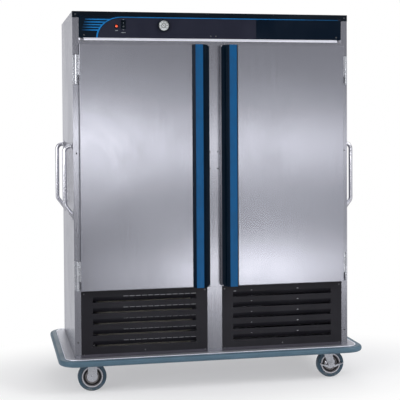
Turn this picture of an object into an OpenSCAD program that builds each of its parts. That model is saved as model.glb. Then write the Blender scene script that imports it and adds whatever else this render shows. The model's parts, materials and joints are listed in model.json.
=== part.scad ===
// Enclosed meal tray cart: an insulated two-door cabinet on a bumper deck.
// Millimetres, +Z up, the front faces -Y, and the origin is on the floor
// below the middle of the cart. Shapes are drawn on the +X side and mirrored.

/* [Cabinet] */
// Width across the two side panels
body_w = 1500; // [1300:10:1700]
// Depth from the face frame to the back panel
body_d = 750; // [700:10:850]
// Height of the cabinet above the deck
body_h = 1813; // [1700:10:1900]
// Thickness of the outer sheet
skin_t = 2; // [1.5:0.5:3]
// Thickness of the compartment liners
liner_t = 2; // [1:0.5:3]
// Depth of the insulated back wall
back_wall = 60; // [50:5:80]

/* [Front] */
// Width of each corner post
post_w = 34; // [30:1:40]
// Width of the middle post
mullion_w = 80; // [76:2:100]
// Height of the louvred grilles
grille_h = 350; // [320:5:380]
// Height of the header between the doors and the control panel
header_h = 34; // [30:1:40]
// Height of the control panel
panel_h = 115; // [105:1:130]
// Height of the strip above the control panel
trim_h = 22; // [18:1:28]

/* [Doors] */
// Thickness of a door without its gasket
door_t = 34; // [30:1:40]
// Space between a door and the face frame
seal_gap = 6; // [4:0.5:8]
// Distance from the side of the cabinet to a door's hinged edge
door_margin = 33; // [32:0.5:36]
// Distance between the free edges of the two doors
door_split = 66; // [60:1:76]
// Width of the full-height door handle
handle_w = 92; // [86:1:100]
// Distance that the handle stands out of the door
handle_out = 32; // [28:1:36]
// Width of the coloured strip in the handle
insert_w = 41; // [36:1:44]

/* [Hinges] */
// Height of a hinge
hinge_h = 152; // [130:2:180]
// Radius of the hinge barrel
barrel_r = 7; // [6:0.5:8]
// Radius of the hinge pin
hinge_pin_r = 3.5; // [3:0.25:4.5]

/* [Deck] */
// Thickness of the deck plate
deck_t = 3; // [2:0.5:5]
// Overhang of the deck at each side
deck_over_x = 50; // [45:1:70]
// Overhang of the deck at the front and the back
deck_over_y = 43; // [40:1:60]
// Radius of the deck's corners
deck_r = 65; // [50:1:80]
// Height of the bumper
bumper_h = 30; // [28:1:50]
// Distance that the bumper stands out of the deck
bumper_out = 35; // [32:1:45]

/* [Casters] */
// Overall height of a caster
caster_h = 187; // [187:1:200]
// Radius of a wheel
wheel_r = 76; // [70:1:78]
// Width of a tyre
wheel_w = 40; // [34:1:44]
// Radius of an axle bolt
axle_r = 6; // [5:0.5:7]
// Distance from the side of the cabinet to a rigid caster's axle
rigid_inset = 95; // [90:1:130]
// Distance from the side of the cabinet to a swivel caster's pivot
swivel_inset = 107; // [100:1:140]
// Distance from a swivel pivot back to its axle
swivel_lead = 28; // [24:1:32]
// Distance from the front or back of the cabinet to the wheels
caster_inset_y = 70; // [65:1:110]

/* [Side handles] */
// Diameter of the side handle tube
tube_d = 22; // [19:1:28]
// Distance from the side panel to the tube's middle line
tube_off = 42; // [38:1:50]
// Height of a side handle's top above the deck
tube_top = 1110; // [1000:10:1200]
// Height of a side handle's knee above the deck
tube_knee = 800; // [700:10:850]

/* [Controls] */
// Diameter of the thermometer
gauge_d = 62; // [56:1:72]
// Diameter of the pilot light
pilot_d = 15; // [12:1:18]
// Height of the switch
switch_h = 46; // [40:1:52]
// Width of the switch
switch_w = 25; // [20:1:28]

/* [Inside] */
// Pitch of the tray ledges
ledge_pitch = 100; // [80:5:125]
// Number of tray ledges on each wall
ledge_n = 10; // [6:1:10]
// Radius of the condenser fan
cond_fan_r = 105; // [90:1:110]
// Radius of an evaporator fan
evap_fan_r = 52; // [44:1:54]

/* [Hidden] */
$fn = 48;

// Shared clearances and the overrun of every cut
gap = 0.3;
run_fit = 0.05;
over = 1;

// Main planes
hw = body_w / 2;
yf = -body_d / 2;
yb = body_d / 2;
deck_z = caster_h + deck_t;
top_z = deck_z + body_h;
trim_z = top_z - trim_h;
panel_z = trim_z - panel_h;
door_z1 = panel_z - header_h;
door_gap = 7;
grille_z1 = deck_z + grille_h;
door_z0 = grille_z1 + door_gap;

// Doors, and the compartments behind their gaskets
door_x0 = door_split / 2;
door_x1 = hw - door_margin;
door_y1 = yf - seal_gap;
door_y0 = door_y1 - door_t;
seal_inset = 10;
seal_w = 14;
seal_land = seal_inset + seal_w + 2 * skin_t;
room_x0 = door_x0 + seal_land;
room_x1 = door_x1 - seal_land;
room_y0 = yf + skin_t;
room_y1 = yb - back_wall;
room_z0 = door_z0 + seal_land;
room_z1 = door_z1 - seal_land;
post_d = 25;

// Door handle section
grip_w = 38;
grip_lip_w = 17;
grip_lip_drop = 6;
grip_wall = 6;
grip_floor = 5;
insert_t = 2;
handle_cut = 14;

// Hinges
barrel_gap = 9;
barrel_out = 25;
hinge_x = door_x1 + barrel_r + barrel_gap;
hinge_y = yf - barrel_out;
leaf_t = 3;
leaf_w = 29;
leaf_web = 5;
door_leaf_half = 12;
low_share = 0.31;
hinge_top_drop = 56;
hinge_low_rise = 1;
pin_short = 4;
hinge_zs = [door_z0 + hinge_low_rise, door_z1 - hinge_top_drop - hinge_h];

// Deck and bumper
rim_lap = 4;
rim_h = bumper_h + rim_lap;
rim_t = deck_t;
deck_w = body_w + 2 * deck_over_x;
deck_d = body_d + 2 * deck_over_y;
bumper_r = 13;
bumper_drop = 3;
bumper_groove = 1.5;
channel_w = 60;
channel_h = 30;
channel_y = deck_d / 6;

// Grilles and vent
grille_t = 2;
grille_z0 = deck_z + 1;
grille_x0 = mullion_w / 2;
grille_x1 = hw - post_w;
slot_margin = 60;
slot_h = 28;
slot_n = 5;
slot_lift = 12;
blade_t = 1.5;
blade_d = 18;
blade_drop = 24;
vent_w = 460;
vent_h = 250;
vent_x = -hw / 2;
vent_rise = 40;
vent_lap = 20;
vent_z = deck_z + vent_rise;

// Control panel
panel_t = 3;
panel_gap = 1;
lip_h = 14;
lip_out = 10;
lip_mitre = 24;
cap_h = 33;
pilot_in = 232;
pilot_rise = 61;
pilot_x = -hw + pilot_in;
pilot_z = panel_z + pilot_rise;
switch_in = 36;
switch_rise = 9;
switch_x = pilot_x + switch_in;
switch_z = pilot_z + switch_rise;
gauge_in = 250;
gauge_rise = 6;
gauge_x = pilot_x + gauge_in;
gauge_z = pilot_z + gauge_rise;
bezel_t = 3;
rocker_off = 8;
body_back = 30;

// Casters
plate_l = 114;
plate_w = 102;
plate_t = 4;
leg_t = 5;
leg_w = 49;
hub_proud = 2;
hub_half = wheel_w / 2 + hub_proud;
leg_gap = 1;
leg_y = hub_half + leg_gap;
rim_r = wheel_r * 0.75;
head_r = 9.5;
head_h = 6;
rigid_x = -(hw - rigid_inset);
swivel_x = hw - swivel_inset;
wheel_y = yf + caster_inset_y;
race_r = 38;
race_h = 8;
race_lip = 4;
crown_t = 5;
kingpin_r = 8;
kingpin_head_h = 3.5;
kingpin_lip = 5;
wheel_clear = 3;
lever_t = 4;
lever_half = 66;
lever_r = 15;
pad_d = 16;

// Insides of the machine compartment and the evaporators
unit_x = -hw / 2;
shaft_r = 4;

// Helper shapes
module block(lo, hi) translate(lo) cube(hi - lo);

module rod_x(r, l) rotate([0, 90, 0]) cylinder(r = r, h = l);

module rod_y(r, l) rotate([-90, 0, 0]) cylinder(r = r, h = l);

module on_side(s) mirror([s < 0 ? 1 : 0, 0, 0]) children();

module both_sides() for (s = [-1, 1]) on_side(s) children();

module both_ends() for (s = [-1, 1]) mirror([0, s > 0 ? 1 : 0, 0]) children();

// A flat section drawn outward and up, swept round a rectangle with round corners
module edge_run(w, d, r) {
    for (a = [0, 180]) rotate([0, 0, a]) {
        translate([w / 2, d / 2 - r, 0]) rotate([90, 0, 0]) linear_extrude(d - 2 * r) children();
        translate([-w / 2 + r, d / 2, 0]) rotate([90, 0, 90]) linear_extrude(w - 2 * r)
            children();
        translate([w / 2 - r, d / 2 - r, 0]) rotate_extrude(angle = 90) translate([r, 0])
            children();
        translate([-w / 2 + r, d / 2 - r, 0]) rotate([0, 0, 90]) rotate_extrude(angle = 90)
            translate([r, 0]) children();
    }
}

module round_plate(w, d, r, t) {
    linear_extrude(t) union() {
        square([w - 2 * r, d], center = true);
        square([w, d - 2 * r], center = true);
        for (x = [-1, 1], y = [-1, 1]) translate([x * (w / 2 - r), y * (d / 2 - r)]) circle(r);
    }
}

// Deck: plate, turned-down rim and two stiffening channels, welded together
module deck() {
    color("silver") {
        translate([0, 0, deck_z - deck_t]) round_plate(deck_w, deck_d, deck_r, deck_t);
        translate([0, 0, deck_z - rim_h]) difference() {
            round_plate(deck_w, deck_d, deck_r, rim_h - deck_t);
            translate([0, 0, -over]) round_plate(deck_w - 2 * rim_t, deck_d - 2 * rim_t,
                deck_r - rim_t, rim_h + over);
        }
        both_ends() difference() {
            block([-deck_w / 2 + rim_t, channel_y - channel_w / 2, deck_z - deck_t - channel_h],
                [deck_w / 2 - rim_t, channel_y + channel_w / 2, deck_z - deck_t]);
            block([-deck_w / 2, channel_y - channel_w / 2 + rim_t,
                deck_z - deck_t - channel_h + rim_t],
                [deck_w / 2, channel_y + channel_w / 2 - rim_t, deck_z - deck_t + over]);
        }
    }
}

module bumper_section() {
    difference() {
        union() {
            square([bumper_out - bumper_r, bumper_h]);
            translate([0, bumper_r]) square([bumper_out, bumper_h - 2 * bumper_r]);
            for (z = [bumper_r, bumper_h - bumper_r]) translate([bumper_out - bumper_r, z])
                circle(bumper_r);
        }
        for (z = [bumper_h / 3, bumper_h * 2 / 3]) translate([bumper_out, z])
            circle(bumper_groove);
    }
}

module bumper() {
    color("slategray") translate([0, 0, deck_z - bumper_drop - bumper_h])
        edge_run(deck_w, deck_d, deck_r) bumper_section();
}

// Side panel, folded round the front to make the corner post
module side_panel() {
    color("silver") translate([0, 0, deck_z]) linear_extrude(body_h - skin_t) union() {
        translate([hw - skin_t, yf]) square([skin_t, body_d]);
        translate([hw - post_w, yf]) square([post_w, skin_t]);
        translate([hw - post_w, yf]) square([skin_t, post_d]);
    }
}

module side_panel_left() on_side(-1) side_panel();

module side_panel_right() on_side(1) side_panel();

// One pressed louvre below the top edge of its slot, with closed ends
module louvre(w, t) {
    rotate([90, 0, 90]) linear_extrude(w) polygon([
        [0, 0], [t, 0], [t + blade_d, -blade_drop], [t + blade_d - blade_t, -blade_drop]
    ]);
    for (x = [0, w - blade_t]) translate([x, 0, 0]) rotate([90, 0, 90])
        linear_extrude(blade_t) polygon([[0, 0], [t + blade_d - blade_t, -blade_drop],
            [t, -blade_drop]]);
}

// Sheet with a column of pressed louvres, drawn from its lower left front corner
module louvred_sheet(w, h, t, n, margin, lift) {
    pitch = h / (n + 1);
    slot_w = w - 2 * margin;
    difference() {
        cube([w, t, h]);
        for (i = [1 : n]) translate([margin, -over, i * pitch - slot_h / 2 + lift])
            cube([slot_w, t + 2 * over, slot_h]);
    }
    for (i = [1 : n]) translate([margin, 0, i * pitch + slot_h / 2 + lift]) louvre(slot_w, t);
}

module grilles() {
    color([0.16, 0.16, 0.18]) both_sides()
        translate([grille_x0 + panel_gap, yf, grille_z0])
            louvred_sheet(grille_x1 - grille_x0 - 2 * panel_gap, grille_z1 - grille_z0,
                grille_t, slot_n, slot_margin, slot_lift);
}

// Back panel, with a vent sheet screwed over its opening
module back_panel() {
    inlet_x = -unit_x;
    inlet_z = deck_z + inlet_rise;
    color("silver") {
        difference() {
            block([-hw + skin_t, yb - skin_t, deck_z], [hw - skin_t, yb, top_z - skin_t]);
            block([vent_x - vent_w / 2 + vent_lap, yb - skin_t - over, vent_z + vent_lap],
                [vent_x + vent_w / 2 - vent_lap, yb + over, vent_z + vent_h - vent_lap]);
            translate([inlet_x, yb - skin_t - over, inlet_z]) rod_y(inlet_r, skin_t + 2 * over);
        }
        translate([vent_x + vent_w / 2, yb + grille_t, vent_z]) rotate([0, 0, 180])
            louvred_sheet(vent_w, vent_h, grille_t, slot_n - 1, vent_lap * 2, 0);
    }
}
inlet_rise = 60;
inlet_r = 16;
inlet_flange = 8;

module top_panel() {
    color("silver") block([-hw, yf, top_z - skin_t], [hw, yb, top_z]);
}

// Sheets that close the insulated body below and above
module partitions() {
    color("gray") for (z = [grille_z1, panel_z - skin_t])
        block([-hw + skin_t, yf + post_d, z], [hw - skin_t, yb - skin_t, z + skin_t]);
}

// Face frame: strips butted round the two door openings, the lower middle post
// with its folded edges, and the drip lip over the frame
module face_frame() {
    z1 = panel_z - lip_h - gap;
    color("silver") {
        block([-room_x0, yf, grille_z1], [room_x0, yf + skin_t, z1]);
        both_sides() {
            block([room_x1, yf, grille_z1], [hw - post_w, yf + skin_t, z1]);
            for (z = [[grille_z1, room_z0], [room_z1, z1]])
                block([room_x0 + gap, yf, z[0]], [room_x1 - gap, yf + skin_t, z[1]]);
        }
        block([-mullion_w / 2, yf, deck_z], [mullion_w / 2, yf + skin_t, grille_z1 - gap]);
        both_sides() block([mullion_w / 2 - skin_t, yf, deck_z],
            [mullion_w / 2, yf + post_d, grille_z1 - gap]);
    }
    color("white") intersection() {
        translate([-hw, yf, panel_z - lip_h]) rotate([90, 0, 90]) linear_extrude(body_w)
            polygon([[0, 0], [-lip_out, 0], [-lip_out, lip_h / 3], [0, lip_h]]);
        translate([0, 0, panel_z - 2 * lip_h]) linear_extrude(3 * lip_h) polygon([
            [-hw + post_w, yf], [-hw + post_w + lip_mitre, yf - lip_out],
            [hw - post_w - lip_mitre, yf - lip_out], [hw - post_w, yf]
        ]);
    }
}

// Compartment liners: each is five flat sheets that meet at seamed edges
module liners() {
    x0 = room_x0 - liner_t;
    x1 = room_x1 + liner_t;
    y1 = room_y1 - gap;
    color("whitesmoke") both_sides() {
        block([x0, room_y1, room_z0 - liner_t], [x1, room_y1 + liner_t, room_z1 + liner_t]);
        for (z = [room_z0 - liner_t, room_z1]) block([x0, room_y0, z], [x1, y1, z + liner_t]);
        for (x = [x0, room_x1])
            block([x, room_y0, room_z0 + gap], [x + liner_t, y1, room_z1 - gap]);
    }
}

module insulation() {
    z0 = grille_z1 + skin_t;
    z1 = panel_z - skin_t;
    color("khaki") difference() {
        union() {
            block([-hw + skin_t, yf + post_d, z0], [hw - skin_t, yb - skin_t, z1]);
            block([-hw + post_w, yf + skin_t, z0], [hw - post_w, yf + post_d, panel_z - lip_h]);
        }
        both_sides() block([room_x0 - liner_t, yf, room_z0 - liner_t],
            [room_x1 + liner_t, room_y1 + liner_t, room_z1 + liner_t]);
    }
}

// Control panel and its instruments
module face_panel() {
    color([0.13, 0.14, 0.2]) difference() {
        block([-hw + post_w + panel_gap, yf, panel_z],
            [hw - post_w - panel_gap, yf + panel_t, trim_z]);
        translate([pilot_x, yf - over, pilot_z]) rod_y(pilot_d / 2 - 2 * gap, panel_t + 2 * over);
        translate([gauge_x, yf - over, gauge_z]) rod_y(gauge_body_r + gap, panel_t + 2 * over);
        block([switch_x - switch_w / 2 + bezel_t - gap, yf - over,
            switch_z - switch_h / 2 + bezel_t - gap],
            [switch_x + switch_w / 2 - bezel_t + gap, yf + panel_t + over,
            switch_z + switch_h / 2 - bezel_t + gap]);
    }
}
gauge_step = 4;
gauge_body_r = gauge_d / 2 - gauge_step;

// Strip above the control panel, with a deeper cap over each corner post
module top_trim() {
    color([0.05, 0.15, 0.2]) difference() {
        union() {
            block([-hw, yf - skin_t, trim_z], [hw, yf, top_z]);
            both_sides() block([hw - post_w, yf - skin_t, top_z - cap_h], [hw, yf, top_z]);
        }
        for (x = [-hw + post_w, hw - post_w]) translate([x, yf - skin_t, top_z - cap_h - over])
            cylinder(r = skin_t / 4, h = cap_h + 2 * over);
    }
}

module pilot_light() {
    color("red") translate([pilot_x, yf, pilot_z]) {
        rotate([90, 0, 0]) rotate_extrude() intersection() {
            translate([0, -pilot_d / 3]) circle(pilot_d * 0.6);
            square([pilot_d / 2, pilot_d]);
        }
        rod_y(pilot_d / 2 - 4 * gap, body_back);
    }
}

module switch_housing() {
    color("black") translate([switch_x, yf, switch_z]) difference() {
        union() {
            block([-switch_w / 2, -bezel_t, -switch_h / 2], [switch_w / 2, 0, switch_h / 2]);
            block([-switch_w / 2 + bezel_t, -gap, -switch_h / 2 + bezel_t],
                [switch_w / 2 - bezel_t, body_back, switch_h / 2 - bezel_t]);
        }
        block([-rocker_w / 2 - gap, -bezel_t - over, -rocker_h / 2 - gap],
            [rocker_w / 2 + gap, rocker_r + gap, rocker_h / 2 + gap]);
        for (s = [-1, 1]) translate([s > 0 ? rocker_w / 2 : -rocker_w / 2 - pivot_l,
            rocker_pivot, 0]) rod_x(pivot_r + run_fit, pivot_l);
    }
}
rocker_edge = 2;
rocker_w = switch_w - 2 * bezel_t - 2 * rocker_edge;
rocker_h = switch_h - 2 * bezel_t - 2 * rocker_edge;
rocker_pivot = 6;
rocker_r = rocker_h / 2;
pivot_l = 1.5;
pivot_r = 1.5;

// Rocker: a flat pad bent at its middle, on two trunnions, at rest in its off position
module switch_rocker() {
    pad_t = 4;
    end_z = rocker_h / 2 - 5 * gap;
    color("dimgray") translate([switch_x, yf + rocker_pivot, switch_z])
        rotate([rocker_off, 0, 0]) {
            rotate([90, 0, 90]) translate([0, 0, -rocker_w / 2]) linear_extrude(rocker_w)
                polygon([
                    [-rocker_pivot, 0], [-rocker_pivot - bezel_t, -end_z],
                    [-rocker_pivot + pad_t - bezel_t, -end_z], [pad_t, 0],
                    [-rocker_pivot + pad_t - bezel_t, end_z], [-rocker_pivot - bezel_t, end_z]
                ]);
            translate([-rocker_w / 2 - pivot_l + gap, 0, 0])
                rod_x(pivot_r, rocker_w + 2 * pivot_l - 2 * gap);
        }
}

// Thermometer: a cup with a rolled bezel, a dial, a needle on its spindle and a glass
gauge_rim = 4;
gauge_deep = 12;
dial_t = 1;
glass_t = 1.5;
needle_t = 0.8;
needle_rest = 130;
spindle_r = 1;
module thermometer_case() {
    color("lightgray") translate([gauge_x, yf, gauge_z]) rotate([90, 0, 0]) difference() {
        rotate_extrude() difference() {
            union() {
                translate([0, -body_back]) square([gauge_body_r, body_back]);
                square([gauge_d / 2 - bezel_t, gauge_deep]);
                translate([gauge_d / 2 - bezel_t, 0]) square([bezel_t, gauge_deep - bezel_t]);
                translate([gauge_d / 2 - bezel_t, gauge_deep - bezel_t]) circle(bezel_t);
            }
            translate([0, bezel_t]) square([gauge_d / 2 - gauge_rim, gauge_deep]);
            translate([-gauge_d, -gauge_d]) square([gauge_d, 2 * gauge_d]);
        }
        translate([0, 0, bezel_t - body_back]) cylinder(r = spindle_r + run_fit, h = body_back);
    }
}

module thermometer_dial() {
    color("white") translate([gauge_x, yf - bezel_t, gauge_z]) rotate([90, 0, 0]) difference() {
        cylinder(r = gauge_d / 2 - gauge_rim - run_fit, h = dial_t);
        translate([0, 0, -over]) cylinder(r = spindle_r + run_fit, h = dial_t + 2 * over);
    }
}

module thermometer_needle() {
    long = gauge_d / 2 - 2 * gauge_rim;
    color("black") translate([gauge_x, yf - bezel_t - dial_t, gauge_z]) rotate([90, 0, 0])
        rotate([0, 0, needle_rest]) {
        translate([0, 0, -dial_t - bezel_t]) cylinder(r = spindle_r, h = dial_t + bezel_t + gap);
        translate([0, 0, gap]) {
            cylinder(r = 2 * spindle_r + needle_t, h = 2 * needle_t);
            linear_extrude(needle_t) polygon([[-long * 0.3, -spindle_r], [long, 0],
                [-long * 0.3, spindle_r]]);
        }
    }
}

module thermometer_glass() {
    color([0.8, 0.9, 1, 0.4]) translate([gauge_x, yf - gauge_deep + bezel_t, gauge_z])
        rotate([90, 0, 0]) cylinder(r = gauge_d / 2 - gauge_rim - run_fit, h = glass_t);
}

// Pan-head screws of the grilles, posts, top strip and control panel
screw_r = 4;
screw_h = 2;
screw_in = 14;
module screw_head() {
    rotate([90, 0, 0]) difference() {
        union() {
            cylinder(r = screw_r, h = screw_h / 2);
            cylinder(r = screw_r * 0.75, h = screw_h);
        }
        for (a = [0, 90]) rotate([0, 0, a]) translate([0, 0, screw_h])
            cube([screw_r, screw_r / 4, screw_h], center = true);
    }
}

mullion_screw_x = 21;
mullion_screw_drop = 89;
post_screw_rise = 1074;
post_screw_low = 82;
module screws() {
    mid_z = deck_z + post_screw_rise;
    color("gainsboro") both_sides() {
        for (x = [grille_x0 + screw_in, grille_x1 - screw_in],
            z = [grille_z0 + screw_in, grille_z1 - screw_in])
            translate([x, yf, z]) screw_head();
        translate([(grille_x0 + grille_x1) / 2, yf, grille_z0 + 2 * screw_in]) screw_head();
        for (z = [deck_z + post_screw_low, mid_z])
            translate([hw - post_w / 2, yf, z]) screw_head();
        for (z = [mid_z - mullion_screw_drop, mid_z])
            translate([mullion_screw_x, yf, z]) screw_head();
        translate([hw - post_w / 2, yf - skin_t, top_z - cap_h / 2]) screw_head();
        for (x = [screw_in, hw - post_w - 2 * screw_in]) translate([x, yf, panel_z + screw_in])
            screw_head();
    }
}

// Hinges: the lower knuckle and the pin stand on the frame leaf
module hinge_frame_leaves() {
    color("gainsboro") both_sides() for (z = hinge_zs) translate([0, 0, z]) {
        block([hw - gap - leaf_w, yf - leaf_t, 0], [hw - gap, yf, hinge_h]);
        block([hinge_x - leaf_web / 2, hinge_y, 0],
            [hinge_x + leaf_web / 2, yf - leaf_t, hinge_h * low_share]);
        translate([hinge_x, hinge_y, 0]) {
            cylinder(r = barrel_r, h = hinge_h * low_share);
            cylinder(r = hinge_pin_r, h = hinge_h - pin_short);
        }
    }
}

module door_hinge_leaves() {
    color("gainsboro") for (z = hinge_zs) translate([0, 0, z + hinge_h * low_share + gap])
        difference() {
            union() {
                block([door_x1, hinge_y - door_leaf_half, 0],
                    [door_x1 + leaf_t, hinge_y + door_leaf_half, hinge_h * (1 - low_share)]);
                block([door_x1, hinge_y - leaf_web / 2, 0],
                    [hinge_x, hinge_y + leaf_web / 2, hinge_h * (1 - low_share)]);
                translate([hinge_x, hinge_y, 0])
                    cylinder(r = barrel_r, h = hinge_h * (1 - low_share));
            }
            translate([hinge_x, hinge_y, -over])
                cylinder(r = hinge_pin_r + run_fit, h = hinge_h + over - pin_short);
        }
}

// Door: an outer pan closed by an inner pan that carries the gasket
module door_panel() {
    color("silver") difference() {
        block([door_x0, door_y0, door_z0], [door_x1, door_y1, door_z1]);
        block([door_x0 + skin_t, door_y0 + skin_t, door_z0 + skin_t],
            [door_x1 - skin_t, door_y1 + over, door_z1 - skin_t]);
    }
}

module door_liner() {
    in = seal_land + skin_t;
    color("whitesmoke") difference() {
        union() {
            block([door_x0 + skin_t, door_y1 - liner_t, door_z0 + skin_t],
                [door_x1 - skin_t, door_y1, door_z1 - skin_t]);
            block([door_x0 + in, door_y1 - liner_t, door_z0 + in],
                [door_x1 - in, door_y1 + seal_gap * 0.6, door_z1 - in]);
        }
        block([door_x0 + in + liner_t, door_y1 - 2 * liner_t, door_z0 + in + liner_t],
            [door_x1 - in - liner_t, door_y1 + seal_gap * 0.6 - liner_t, door_z1 - in - liner_t]);
    }
}

module door_gasket() {
    color([0.2, 0.2, 0.22]) difference() {
        block([door_x0 + seal_inset, door_y1, door_z0 + seal_inset],
            [door_x1 - seal_inset, yf - gap, door_z1 - seal_inset]);
        block([door_x0 + seal_inset + seal_w, door_y1 - over, door_z0 + seal_inset + seal_w],
            [door_x1 - seal_inset - seal_w, yf + over, door_z1 - seal_inset - seal_w]);
    }
}

// Handle: a full-height extrusion with a finger recess along the free edge
module handle_section() {
    x0 = door_x0;
    y0 = door_y0;
    y1 = door_y0 - handle_out;
    difference() {
        polygon([
            [x0, y0], [x0, y0 - grip_floor], [x0 + grip_w - grip_wall, y0 - grip_floor],
            [x0 + grip_w - grip_wall, y1 + grip_wall + grip_lip_drop],
            [x0 + grip_w - grip_lip_w, y1 + grip_lip_drop + grip_wall / 2],
            [x0 + grip_w - grip_lip_w, y1 + grip_lip_drop], [x0 + grip_w, y1],
            [x0 + grip_w + insert_w, y1], [x0 + handle_w, y0]
        ]);
        translate([x0 + grip_w, y1 - over]) square([insert_w, insert_t + over]);
    }
}

module door_handle() {
    color([0.06, 0.12, 0.18]) difference() {
        translate([0, 0, door_z0]) linear_extrude(door_z1 - door_z0) handle_section();
        for (z = [door_z0, door_z1]) translate([door_x0, door_y0 - handle_out / 2, z])
            rotate([0, 45, 0]) cube([handle_cut, 2 * handle_out, handle_cut], center = true);
    }
}

module door_insert() {
    color([0.12, 0.45, 0.75]) translate([door_x0 + grip_w, door_y0 - handle_out, door_z0])
        cube([insert_w, insert_t, door_z1 - door_z0]);
}

module door_left_panel() on_side(-1) door_panel();

module door_left_liner() on_side(-1) door_liner();

module door_left_gasket() on_side(-1) door_gasket();

module door_left_handle() on_side(-1) door_handle();

module door_left_insert() on_side(-1) door_insert();

module door_left_hinge_leaves() on_side(-1) door_hinge_leaves();

module door_right_panel() door_panel();

module door_right_liner() door_liner();

module door_right_gasket() door_gasket();

module door_right_handle() door_handle();

module door_right_insert() door_insert();

module door_right_hinge_leaves() door_hinge_leaves();

// Side handles: a bent tube with a straight top leg and a raked lower leg
tube_bend = 30;
tube_foot_drop = 55;
flange_r = 19;
flange_t = 4;
bend_step = 0.1;
bend_lap = 1.5;
tube_inset_front = 60;
tube_inset_back = 130;
module side_handle() {
    r = tube_d / 2;
    z1 = deck_z + tube_top;
    zk = deck_z + tube_knee;
    rake = atan2(tube_off, tube_foot_drop);
    lead = tube_bend * tan(rake / 2);
    x = hw + tube_off;
    leg_l = tube_foot_drop / cos(rake) - lead + bend_lap;
    translate([hw, 0, z1]) rod_x(r, tube_off - tube_bend + bend_lap);
    translate([x - tube_bend, 0, z1 - tube_bend]) rotate([90, 0, 0])
        rotate_extrude(angle = 90) translate([tube_bend, 0]) circle(r - bend_step);
    translate([x, 0, zk + lead - bend_lap])
        cylinder(r = r, h = z1 - tube_bend - zk - lead + 2 * bend_lap);
    translate([x - tube_bend, 0, zk + lead]) rotate([90, 0, 0]) rotate([0, 0, -rake])
        rotate_extrude(angle = rake) translate([tube_bend, 0]) circle(r - bend_step);
    difference() {
        translate([x, 0, zk]) rotate([0, rake, 0]) translate([0, 0, -lead + bend_lap])
            mirror([0, 0, 1]) rotate([0, 0, 90]) cylinder(r = r, h = leg_l + r);
        block([hw - 2 * tube_off, -tube_d, deck_z], [hw + flange_t / 2, tube_d, top_z]);
    }
    translate([hw, 0, z1]) rod_x(flange_r, flange_t);
    translate([hw, 0, zk - tube_foot_drop]) rod_x(flange_r + flange_t, flange_t);
}

module side_handles() {
    color("gainsboro") both_sides() for (y = [yf + tube_inset_front, yb - tube_inset_back])
        translate([0, y, 0]) side_handle();
}

// Tray racks: slotted uprights and angle ledges on both walls of each compartment
upright_w = 25;
upright_t = 6;
ledge_w = 22;
ledge_leg = 12;
ledge_t = 1.5;
ledge_rise = 45;
ledge_z = room_z0 + ledge_rise;
rack_front = 60;
rack_back = 40;
rack_y0 = room_y0 + rack_front;
rack_y1 = room_y1 - rack_back;
module rack_wall() {
    rack_h = (ledge_n - 1) * ledge_pitch + 2 * ledge_leg;
    for (y = [rack_y0 + upright_w, rack_y1 - 2 * upright_w])
        translate([0, y, ledge_z - 2 * ledge_leg])
            cube([upright_t, upright_w, rack_h + ledge_leg]);
    for (i = [0 : ledge_n - 1]) translate([upright_t + gap, rack_y0, ledge_z + i * ledge_pitch]) {
        translate([0, 0, -ledge_t]) cube([ledge_w, rack_y1 - rack_y0, ledge_t]);
        translate([0, 0, -ledge_leg]) cube([ledge_t, rack_y1 - rack_y0, ledge_leg]);
    }
}

module tray_racks() {
    color("lightgray") both_sides() {
        translate([room_x0, 0, 0]) rack_wall();
        translate([room_x1, 0, 0]) mirror([1, 0, 0]) rack_wall();
    }
}

// Fan rotor with pitched blades round a bored hub, its axis along Y
module fan_rotor(r, hub_r, depth, n) {
    rotate([-90, 0, 0]) difference() {
        union() {
            cylinder(r = hub_r, h = depth);
            for (i = [0 : n - 1]) rotate([0, 0, i * 360 / n]) translate([0, 0, depth / 2])
                rotate([32, 0, 0]) intersection() {
                    translate([hub_r * 0.6, -r / 4, -fan_blade_t / 2])
                        cube([r - hub_r * 0.6 - over, r / 2, fan_blade_t]);
                    translate([0, 0, -fan_blade_t]) cylinder(r = r - over, h = 2 * fan_blade_t);
                }
        }
        translate([0, 0, -over]) cylinder(r = shaft_r + run_fit, h = depth + 2 * over);
    }
}
fan_blade_t = 2;

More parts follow.
